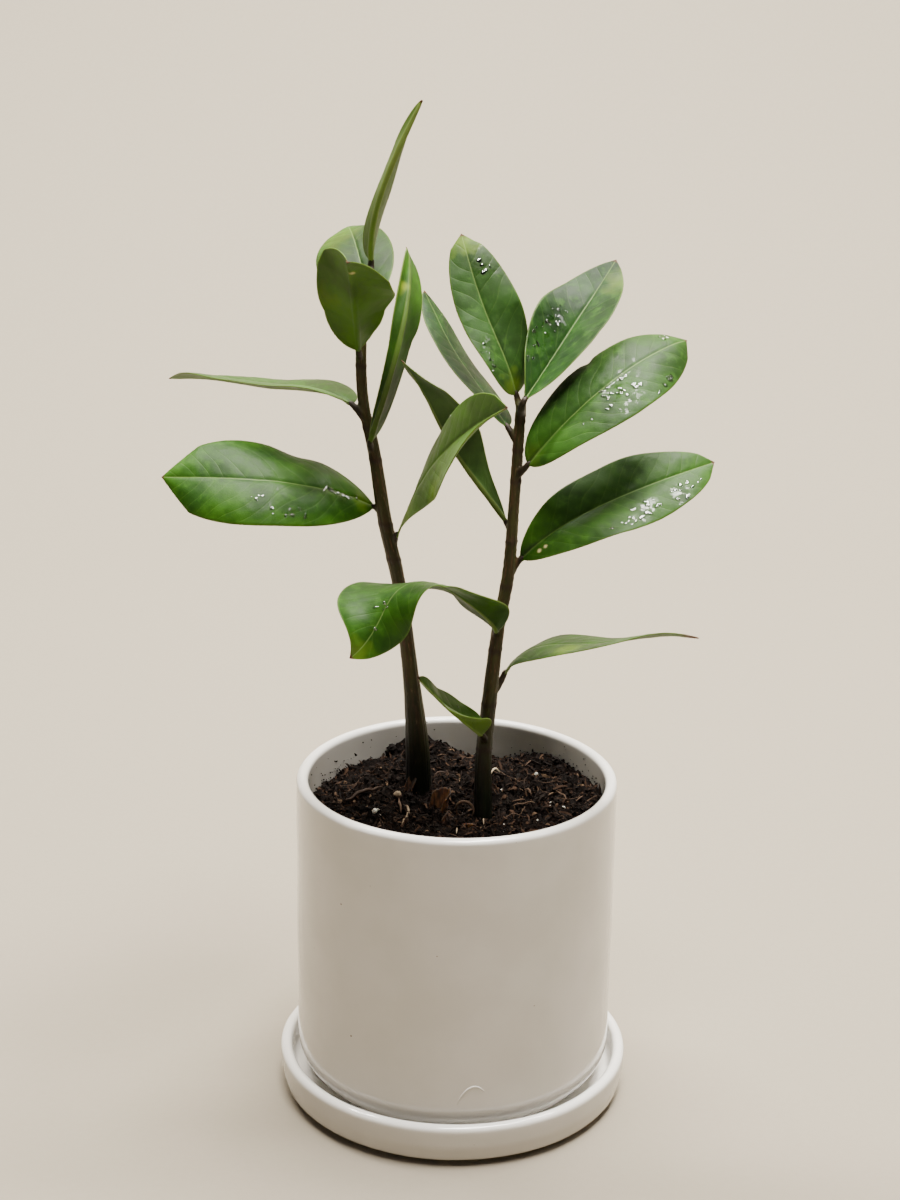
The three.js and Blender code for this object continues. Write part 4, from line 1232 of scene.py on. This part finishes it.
def half_width(leaf, u):
    belly, tip = leaf["belly"], leaf["tip"]
    to_belly = (u / belly) ** (tip * belly / (1 - belly))
    outline = leaf["width"] / 2 * to_belly * ((1 - u) / (1 - belly)) ** tip
    outline = np.minimum(outline, BLADE_TIP_SLOPE * (1 - u) * leaf["length"])
    return np.maximum(outline, BLADE_BASE + (BLADE_TIP - BLADE_BASE) * u)


def blade_grid(leaf, u, v):
    """The upper face on a grid of u and v, and each point's distance from the midrib."""
    centre, along, right, up = midrib_frames(leaf, u)
    half = half_width(leaf, u)[:, None]
    side = np.sign(v)[None, :]
    dent_side, dent_place, dent_depth, dent_spread = leaf.get("dent", (0, 0, 0, 1))
    dent = dent_depth * np.exp(-((u - dent_place) / dent_spread) ** 2)[:, None] * (side == dent_side)
    reach = np.abs(v)[None, :] * (half * (1 + leaf["lop"] * side) - dent)
    fold = np.radians(profile_at(leaf["fold"], u))[:, None]
    wave_height, wave_count, wave_start = leaf["wave"]
    phase = wave_count * u[:, None] + wave_start + BLADE_WAVE_LEAD * side
    ends = np.minimum(1, np.minimum(u, 1 - u) / BLADE_WAVE_RISE)[:, None]
    wave = wave_height * ends * v[None, :] ** 2 * np.sin(2 * math.pi * phase)
    lift = reach * np.sin(fold) - leaf["cup"] * half * v[None, :] ** 2 + wave
    points = (centre[:, None, :] + right[:, None, :] * (side * reach * np.cos(fold))[..., None]
              + up[:, None, :] * lift[..., None])
    return points, reach * side


def face_normals(points):
    """Normals of a grid of points, pointing to the upper side."""
    normals = np.cross(np.gradient(points, axis=1), np.gradient(points, axis=0))
    return normals / np.maximum(np.linalg.norm(normals, axis=2, keepdims=True), 1e-9)


def noise_grid(points, scale, noise_here=noise.noise):
    """Soft noise, about -1 to 1, at every point of a grid."""
    return np.array([[noise_here(Vector(p) * scale) for p in row] for row in points])


def broad_noise(place):
    return noise.fractal(place, 1.0, 2.0, 2)


def vein_count(leaf, u, across, stray):
    """Counts the side veins, which lean forward from the midrib towards the tip."""
    reach = np.abs(across)
    along = u[:, None] * leaf["length"]
    forward = along - VEIN_LEAN * reach - VEIN_CURVE * reach ** 2 + VEIN_STRAY * stray
    uneven = 0.18 * np.sin(u[:, None] * 23 + leaf["length"])
    return forward / VEIN_SPACING + 0.5 * (across > 0) + uneven


leaf_skin, shader, paint = new_material("leaf_skin", {
    "IOR": 1.42,
    "Specular IOR Level": 0.24,
    "Subsurface Weight": 0.10,
    "Subsurface Radius": (0.0012, 0.0024, 0.0006),
    "Coat Roughness": 0.05,
})
across, edge, veins = parts_of(paint, "leaf_place")  # mm from midrib and margin, and the vein count
# dark is painted shade on leaflets, or parts of them, that lie in shadow
yellow, wet, dark = parts_of(paint, "leaf_marks")
brown, scar, pale_rib = parts_of(paint, "leaf_flecks")
upper, tone, warmth = parts_of(paint, "leaf_kind")
body = paint.place()
wet = wet * paint.noise(body, 2.6, 3, 0.6).ramp(0.52, 0.57)  # puddles that broke up
blotch = paint.noise(body, 15, 3, 0.5)
mottle = paint.noise(body, 4, 3, 0.6)
fine = paint.noise(body, 1.1, 3, 0.6)
to_vein = paint.maths("ABSOLUTE", paint.maths("FRACT", veins) - 0.5)  # 0.5 on a vein, 0 between two
on_vein = to_vein.ramp(0.43, 0.5)
near_midrib = paint.maths("ABSOLUTE", across)
on_midrib = 1 - near_midrib.ramp(0.05, 0.34)
on_margin = 1 - edge.ramp(0.1, 0.7)

cloud = (blotch + 0.35 * (mottle - 0.5)).ramp(0.3, 0.7)
cool = paint.mix(cloud, "0f270a", "1e4013")
warm = paint.mix(cloud, "1f4204", "366109")
top = paint.coats(
    paint.mix(warmth, cool, warm),
    (mottle.ramp(0.52, 0.75) * 0.35, "3f6a1c"),
    (tone, "6f9440"),
    # painted shade
    (dark * 0.85, "091905"),
    (yellow * 0.7, "7f9a1c"),
    (on_vein * 0.10, "5f8034"),
    (on_midrib * 0.34, "86a057"),
    (on_margin * 0.3, "5f7a28"),
)
cool = paint.mix(cloud, "273f16", "3a5624")
warm = paint.mix(cloud, "234604", "36620b")
under = paint.coats(
    paint.mix(warmth, cool, warm),
    (tone, "86a54c"),
    # painted shade
    (dark * 0.8, "121f06"),
    (yellow * 0.8, "93a01c"),
    (on_vein * 0.2, "34521c"),
    ((1 - near_midrib.ramp(0.25, 0.8)) * pale_rib, "a9bb62"),
    (on_margin * 0.4, "8ea24e"),
)
dullness = 0.56 - 0.06 * upper + 0.24 * (mottle - 0.5) - 0.3 * wet
pores = fine * 0.45 + paint.noise(body, 0.35, 2) * 0.35
drive(shader, {
    # brown is the dry brown tips, and painted shade along one leaflet's margin
    "Base Color": paint.coats(paint.mix(upper, under, top), (scar, "d8c88c"), (brown, "4d331f")),
    "Roughness": paint.maths("MAXIMUM", dullness, 0.07),
    "Coat Weight": wet * 0.8,
    "Normal": paint.bump(pores - on_vein * 0.35, 0.09),
})

LEAF_LOOKS = {
    # paleness, warmth of the green and paleness of the midrib below, from the top down
    "left": [(0.30, 0.20, 0.3), (0.0, 0.75, 0.2), (0.14, 0.95, 0.0), (0.0, 0.9, 0.12), (0.12, 0.35, 0.2),
             (0.0, 0.75, 0.2), (0.30, 0.8, 0.2)],
    "right": [(0.08, 0.0, 0.2), (0.0, 0.15, 0.2), (0.0, 0.0, 0.2), (0.04, 0.35, 0.2), (0.04, 0.6, 0.2),
              (0.0, 0.0, 0.2), (0.03, 0.25, 0.2), (0.0, 0.6, 0.2), (0.36, 0.5, 0.2)],
}

LEAF_MARKS = {
    # for each kind, its places: along and across the blade, radius in mm and strength. The dark ones are
    # painted shade, where a leaflet lies in shadow
    "leaflet_left_2": {"yellow": [(0.8, -0.5, 8, 0.25)], "dark": [(0.5, 0.2, 20, 0.8)]},
    "leaflet_left_3": {
        "yellow": [(0.45, 0.9, 5, 0.12)], "dark": [(0.62, 0.1, 5, 0.2)], "scar": [(0.80, -0.06, 0.6, 0.7)],
    },
    "leaflet_left_4": {
        "yellow": [(0.78, 0.35, 1.8, 0.6)], "dark": [(0.3, 0.4, 14, 0.7), (0.65, 0.3, 14, 0.6)],
    },
    "leaflet_left_6": {
        "yellow": [(0.08, 0.0, 4, 0.3)], "dark": [(0.6, 0.3, 14, 0.35), (0.3, 0.2, 9, 0.3)],
        "wet": [(0.22, -0.05, 5, 0.7), (0.45, -0.7, 5, 0.7)],
    },
    "leaflet_left_7": {"yellow": [(0.15, 0.3, 9, 0.35), (0.5, 0.95, 6, 0.5)]},
    "leaflet_right_1": {
        "yellow": [(0.04, 0.0, 5, 0.35), (0.97, 0.0, 5, 0.6)], "dark": [(0.35, 0.5, 8, 0.35)],
        "wet": [(0.78, 0.5, 5, 0.7), (0.3, -0.6, 5, 0.5)],
    },
    "leaflet_right_2": {
        "yellow": [(0.88, 0.85, 5, 0.3)], "dark": [(0.5, -0.6, 6, 0.5)],
        "wet": [(0.46, -0.5, 7, 0.9), (0.27, -0.6, 7, 0.9)],
    },
    "leaflet_right_3": {
        "dark": [(0.5, -0.3, 18, 0.55), (0.5, 0.4, 9, 0.6)],
        # the brown spots on its margin are painted shade, where the edge lies in shadow
        "brown": [(0.55, 1.0, 1.6, 0.7), (0.35, 1.0, 1.4, 0.7)],
    },
    "leaflet_right_4": {
        "yellow": [(0.05, 0.0, 4, 0.12)], "dark": [(0.4, -0.5, 14, 0.45)], "wet": [(0.52, 0.3, 8, 0.9)],
    },
    "leaflet_right_5": {
        "dark": [(0.45, -0.55, 15, 0.3), (0.75, -0.5, 8, 0.25)],
        "wet": [(0.60, 0.65, 5, 0.8), (0.78, 0.75, 4.5, 0.8)],
        "scar": [(0.10, 0.45, 0.7, 1.0), (0.135, 0.4, 0.6, 1.0)],
    },
    "leaflet_right_7": {"yellow": [(0.42, 0.6, 5, 0.4)], "brown": [(0.99, 0.0, 3.5, 1.0)]},
    "leaflet_right_8": {"yellow": [(0.97, 0.0, 5, 0.3)], "dark": [(0.25, 0.2, 14, 0.6)]},
}


def leaf_marks(name, leaf, skin):
    """How strongly each kind of mark shows at every point of the blade."""
    marks = {kind: np.zeros(skin.shape[:2]) for kind in ("yellow", "wet", "dark", "brown", "scar")}
    ragged = noise_grid(skin, 0.3)
    for kind, spots in LEAF_MARKS.get(name, {}).items():
        for place_u, place_v, radius, strength in spots:
            spot, _ = blade_grid(leaf, np.array([place_u]), np.array([place_v]))
            gap = np.linalg.norm(skin - spot[0, 0], axis=2) / radius
            shown = strength * np.clip(1.5 - gap * (1 + 0.6 * ragged), 0, 1)
            marks[kind] = np.maximum(marks[kind], shown)
    return marks


def build_leaflet(name, leaf, look):
    """One blade with its veins, margin and marks."""
    t = np.linspace(0, 1, BLADE_ROWS + 1)
    u = BLADE_EVEN_ROWS * t + (1 - BLADE_EVEN_ROWS) * (1 - np.cos(math.pi * t)) / 2
    v = np.linspace(-1, 1, 2 * BLADE_COLUMNS + 1)
    v = np.sign(v) * np.abs(v) ** BLADE_COLUMN_POWER
    skin, across = blade_grid(leaf, u, v)
    normals = face_normals(skin)
    half = np.abs(across).max(axis=1)
    reach = np.abs(across)
    from_edge = np.where(v[None, :] < 0, -across[:, :1], across[:, -1:]) - reach
    veins = vein_count(leaf, u, across, noise_grid(skin, 0.08))

    toward_tip = (1 - u)[:, None]
    inside = np.clip(from_edge / VEINS_FROM_EDGE, 0, 1) * np.clip(reach / VEINS_FROM_MIDRIB, 0, 1)
    inside = inside * np.clip(toward_tip * VEINS_TO_TIP, 0, 1)
    swell = VEIN_SWELL * inside * (np.abs(np.sin(math.pi * veins)) ** 0.6 - 0.7)
    swell = swell * (0.6 + 0.5 * noise_grid(skin, 0.06)) + QUILTING * inside * noise_grid(skin, 0.3)
    groove = -MIDRIB_GROOVE * np.exp(-(reach / MIDRIB_WIDTH_ABOVE) ** 2) * np.minimum(1, toward_tip * 3)
    marks = leaf_marks(name, leaf, skin)
    uneven = DIMPLES * noise_grid(skin, 0.09, broad_noise)
    uneven += WATER_RIPPLE * marks["wet"] * noise_grid(skin, 0.65)
    uneven *= np.clip(from_edge / 2, 0, 1)
    upper = skin + normals * (swell + groove + uneven)[..., None]

    edge_share = np.clip(from_edge / BLADE_EDGE_TAPER, 0, 1)
    thickness = BLADE_EDGE_THICKNESS + (BLADE_THICKNESS - BLADE_EDGE_THICKNESS) * edge_share
    ridge = MIDRIB_RIDGE * np.exp(-(reach / MIDRIB_WIDTH_BELOW) ** 2)
    thickness = thickness + ridge * np.clip(toward_tip, 0, 1) ** 0.7
    thickness = np.minimum(thickness, 0.35 + half[:, None] * 0.9)
    lower = skin - normals * (thickness - swell * BLADE_UNDER_SHARE - uneven)[..., None]

    rows, columns = skin.shape[:2]
    rims = []
    for column in (0, columns - 1):
        outward = skin[:, column] - skin[:, columns // 2]
        outward /= np.maximum(np.linalg.norm(outward, axis=1, keepdims=True), 1e-9)
        rims.append((upper[:, column] + lower[:, column]) / 2 + outward * BLADE_RIM)
    points = np.concatenate([upper.reshape(-1, 3), lower.reshape(-1, 3), *rims])
    below = rows * columns
    left_rim, right_rim = 2 * below, 2 * below + rows

    faces = two_sided(rows, columns)
    for row in range(rows - 1):
        here, there = row * columns, (row + 1) * columns
        rim, next_rim = left_rim + row, left_rim + row + 1
        faces += [(here, there, next_rim, rim), (rim, next_rim, there + below, here + below)]
        a, b = here + columns - 1, there + columns - 1
        rim, next_rim = right_rim + row, right_rim + row + 1
        faces += [(b, a, rim, next_rim), (next_rim, rim, a + below, b + below)]
    first = [*range(columns), right_rim, *range(below + columns - 1, below - 1, -1), left_rim]
    faces.append(tuple(reversed(first)))
    start = (rows - 1) * columns
    end = [*range(start, start + columns), right_rim + rows - 1,
           *range(below + start + columns - 1, below + start - 1, -1), left_rim + rows - 1]
    faces.append(tuple(end))

    piece = new_piece(name + "_blade", points, faces, leaf_skin, "leaf")
    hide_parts(name)

    def both(grid, lower_grid=None):
        """A value for every point: the upper face, the lower face and the two rims."""
        lower_grid = grid if lower_grid is None else lower_grid
        sides = [(grid[:, k] + lower_grid[:, k]) / 2 for k in (0, -1)]
        return np.concatenate([grid.ravel(), lower_grid.ravel(), *sides])

    tip_end = np.clip((DRY_TIP - toward_tip * leaf["length"]) / 0.8, 0, 1) + np.zeros_like(reach)
    marks["brown"] = np.maximum(marks["brown"], tip_end)
    paleness, warmth, midrib_below = look
    everywhere = np.ones_like(reach)
    keep(piece, "leaf_place", np.column_stack([both(across), both(from_edge), both(veins)]))
    keep(piece, "leaf_marks", np.column_stack([both(marks[k]) for k in ("yellow", "wet", "dark")]))
    flecks = [marks["brown"], marks["scar"], everywhere * midrib_below]
    keep(piece, "leaf_flecks", np.column_stack([both(grid) for grid in flecks]))
    looks = [both(everywhere * paleness), both(everywhere * warmth)]
    keep(piece, "leaf_kind", np.column_stack([both(everywhere, 0 * everywhere), *looks]))


for side, leaves in LEAFLETS.items():
    for number, leaf in enumerate(leaves, 1):
        build_leaflet(f"leaflet_{side}_{number}", leaf, LEAF_LOOKS[side][number - 1])


# ---------------------------------------------------------------------------
# Water drops
# Clear beads and flat puddles of water stand on the waxy leaflets, mostly in groups, and
# a few sit right at a margin.
# ---------------------------------------------------------------------------
DROPS = {
    # place along and across the blade, spread in u and v, how many and their radius in mm
    "leaflet_left_6": [(0.22, -0.05, 0.07, 0.15, 9, 0.7), (0.44, -0.75, 0.08, 0.12, 10, 0.7),
                       (0.58, -0.45, 0.03, 0.12, 4, 0.6), (0.13, 0.0, 0.03, 0.15, 4, 0.7)],
    "leaflet_left_7": [(0.62, -0.97, 0.01, 0.01, 1, 1.2)],
    "leaflet_left_3": [(0.2, -0.95, 0.01, 0.02, 1, 1.0)],
    "leaflet_right_1": [(0.78, 0.5, 0.05, 0.2, 6, 0.8), (0.25, -0.75, 0.12, 0.15, 9, 0.55)],
    "leaflet_right_2": [(0.28, -0.65, 0.12, 0.2, 16, 0.7), (0.5, -0.5, 0.09, 0.2, 12, 0.7)],
    "leaflet_right_4": [(0.52, 0.3, 0.09, 0.25, 16, 0.9), (0.35, 0.6, 0.1, 0.1, 4, 0.6),
                        (0.9, -0.6, 0.04, 0.15, 4, 1.1), (0.72, 0.85, 0.08, 0.08, 7, 0.9)],
    "leaflet_right_5": [(0.62, 0.62, 0.12, 0.2, 18, 0.8), (0.82, 0.6, 0.08, 0.25, 10, 0.8),
                        (0.45, 0.8, 0.08, 0.1, 5, 0.6)],
    "leaflet_right_8": [(0.8, 0.1, 0.08, 0.3, 5, 0.6)],
    "leaflet_right_9": [(0.5, 0.3, 0.2, 0.3, 4, 0.5)],
}
DROP_HEIGHT = 0.32  # share of its radius
DROP_STRETCHES = (0.75, 1.35)
DROP_SIZES = (0.45, 1.3)  # shares of the radius given above
DROP_SPOKES = 18
DROP_RINGS = 6
DROP_MARGIN = 0.97  # as far as a drop's middle goes, along and across
DROP_PATCH = np.array([-1, 0, 1])  # neighbouring places that tell which way a drop faces

water, shader, paint = new_material("water", {
    "Base Color": (1.0, 1.0, 1.0, 1.0),
    "Metallic": 1.0,
    "Roughness": 0.04,
})
place = paint.place()
sheen = paint.node("ShaderNodeFresnel", {"IOR": 1.8})  # a clear film, which shows where it reflects
drive(shader, {
    "Alpha": sheen + 0.05 + 0.04 * paint.noise(place, 0.7, 2),
    "Normal": paint.bump(paint.noise(place, 1.5, 1), 0.02),
})


def drop(centre, normal, radius):
    """A flattened bead with an uneven outline, standing on the blade."""
    first = np.cross(normal, (0.3, 0.9, 0.1))
    first /= np.linalg.norm(first)
    second = np.cross(normal, first)
    stretch = rng.uniform(*DROP_STRETCHES)
    outline = [radius * (1 + 0.22 * math.sin(2 * a + centre[0]) + 0.12 * math.sin(3 * a + centre[2]))
               for a in np.linspace(0, 2 * math.pi, DROP_SPOKES, endpoint=False)]
    vertices = [centre + normal * radius * DROP_HEIGHT]
    for ring in range(1, DROP_RINGS + 1):
        tilt = math.pi / 2 * ring / DROP_RINGS
        lift = radius * DROP_HEIGHT * (math.cos(tilt) - 0.3 * (ring == DROP_RINGS))
        for k in range(DROP_SPOKES):
            angle = 2 * math.pi * k / DROP_SPOKES
            flat = outline[k] * math.sin(tilt)
            vertices.append(centre + first * flat * stretch * math.cos(angle)
                            + second * flat / stretch * math.sin(angle) + normal * lift)
    foot = tuple(range(DROP_RINGS * DROP_SPOKES, (DROP_RINGS - 1) * DROP_SPOKES, -1))
    faces = fan(0, 1, DROP_SPOKES) + ring_faces(1, DROP_RINGS, DROP_SPOKES, inward=True)
    return vertices, faces + [foot]


drop_parts = []
for name, clusters in DROPS.items():
    _, side, number = name.split("_")
    leaf = LEAFLETS[side][int(number) - 1]
    for middle_u, middle_v, spread_u, spread_v, count, size in clusters:
        for _ in range(count):
            drop_u = middle_u + spread_u * rng.uniform(-1, 1)
            drop_v = middle_v + spread_v * rng.uniform(-1, 1)
            drop_u = min(max(drop_u, 1 - DROP_MARGIN), DROP_MARGIN)
            drop_v = min(max(drop_v, -DROP_MARGIN), DROP_MARGIN)
            patch, _ = blade_grid(leaf, drop_u + 0.01 * DROP_PATCH, drop_v + 0.02 * DROP_PATCH)
            normal = face_normals(patch)[1, 1]
            radius = size * rng.uniform(*DROP_SIZES)
            drop_parts.append(drop(patch[1, 1], normal, radius))
new_piece("water_drops", *joined(drop_parts), water, "leaf")


# ---------------------------------------------------------------------------
# Floor and lights
# A pale studio sheet that lies flat under the plant and sweeps up behind it, and the
# soft lamps round it. Sizes are in metres here, and none of it is part of the plant.
# ---------------------------------------------------------------------------
FLOOR_DROP = 0.0002  # keeps the sheet clear of the saucer's foot
FLOOR_FRONT = -7.0
FLOOR_BEND_START = 0.7
FLOOR_BEND_RADIUS = 0.7
FLOOR_TOP = 2.6
FLOOR_HALF_WIDTH = 7.0
FLOOR_BEND_STEPS = 24
WORLD_TINT = (1.0, 0.97, 0.94, 1.0)
WORLD_LIGHT = 0.05

paper, shader, paint = new_material("studio_sheet", {"Specular IOR Level": 0.15})
tooth = paint.noise(paint.place(), 3, 4)
drive(shader, {
    "Base Color": paint.mix(tooth, "978e7e", "9c9384"),
    "Roughness": 0.75 + 0.1 * tooth,
})
sweep = [(FLOOR_FRONT, 0.0), (FLOOR_BEND_START, 0.0)]
for k in range(1, FLOOR_BEND_STEPS + 1):
    angle = math.pi / 2 * k / FLOOR_BEND_STEPS
    sweep.append((FLOOR_BEND_START + FLOOR_BEND_RADIUS * math.sin(angle),
                  FLOOR_BEND_RADIUS * (1 - math.cos(angle))))
sweep.append((FLOOR_BEND_START + FLOOR_BEND_RADIUS, FLOOR_TOP))
sheet_mesh = bpy.data.meshes.new("studio_sheet")
edges = (-FLOOR_HALF_WIDTH, FLOOR_HALF_WIDTH)
sheet_mesh.from_pydata(
    [(x, y, z - FLOOR_DROP) for y, z in sweep for x in edges], [],
    [(2 * k, 2 * k + 1, 2 * k + 3, 2 * k + 2) for k in range(len(sweep) - 1)])
sheet_mesh.shade_smooth()
sheet_mesh.materials.append(paper)
sheet = placed("studio_sheet", sheet_mesh)

LAMPS = [
    # name, place, what it points at, width and height in metres, watts and colour
    ("lamp_key", (0.26, -0.2, 1.65), (0, 0, 0.15), 0.95, 0.4, 68, (1.0, 0.96, 0.90)),
    ("lamp_left", (-1.2, -0.7, 0.9), (0, 0, 0.2), 0.12, 1.3, 1.1, (1.0, 0.97, 0.93)),
    ("lamp_right", (1.05, -0.28, 1.22), (0, 0, 0.3), 0.22, 0.22, 2.6, (1.0, 0.97, 0.93)),
    ("lamp_backdrop", (0.0, 0.55, 2.0), (0.0, 1.5, 0.6), 2.2, 0.3, 185, (1.0, 0.96, 0.89)),
]
for name, spot, target, width, height, watts, tint in LAMPS:
    light = bpy.data.lights.new(name, "AREA")
    light.shape = "RECTANGLE"
    light.size = width
    light.size_y = height
    light.energy = watts
    light.color = tint
    lamp = placed(name, light)
    lamp.location = spot
    lamp.rotation_euler = (Vector(target) - Vector(spot)).to_track_quat("-Z", "Y").to_euler()

world = bpy.data.worlds.new("studio")
bpy.context.scene.world = world
world.use_nodes = True
background = world.node_tree.nodes["Background"]
background.inputs["Color"].default_value = WORLD_TINT
background.inputs["Strength"].default_value = WORLD_LIGHT
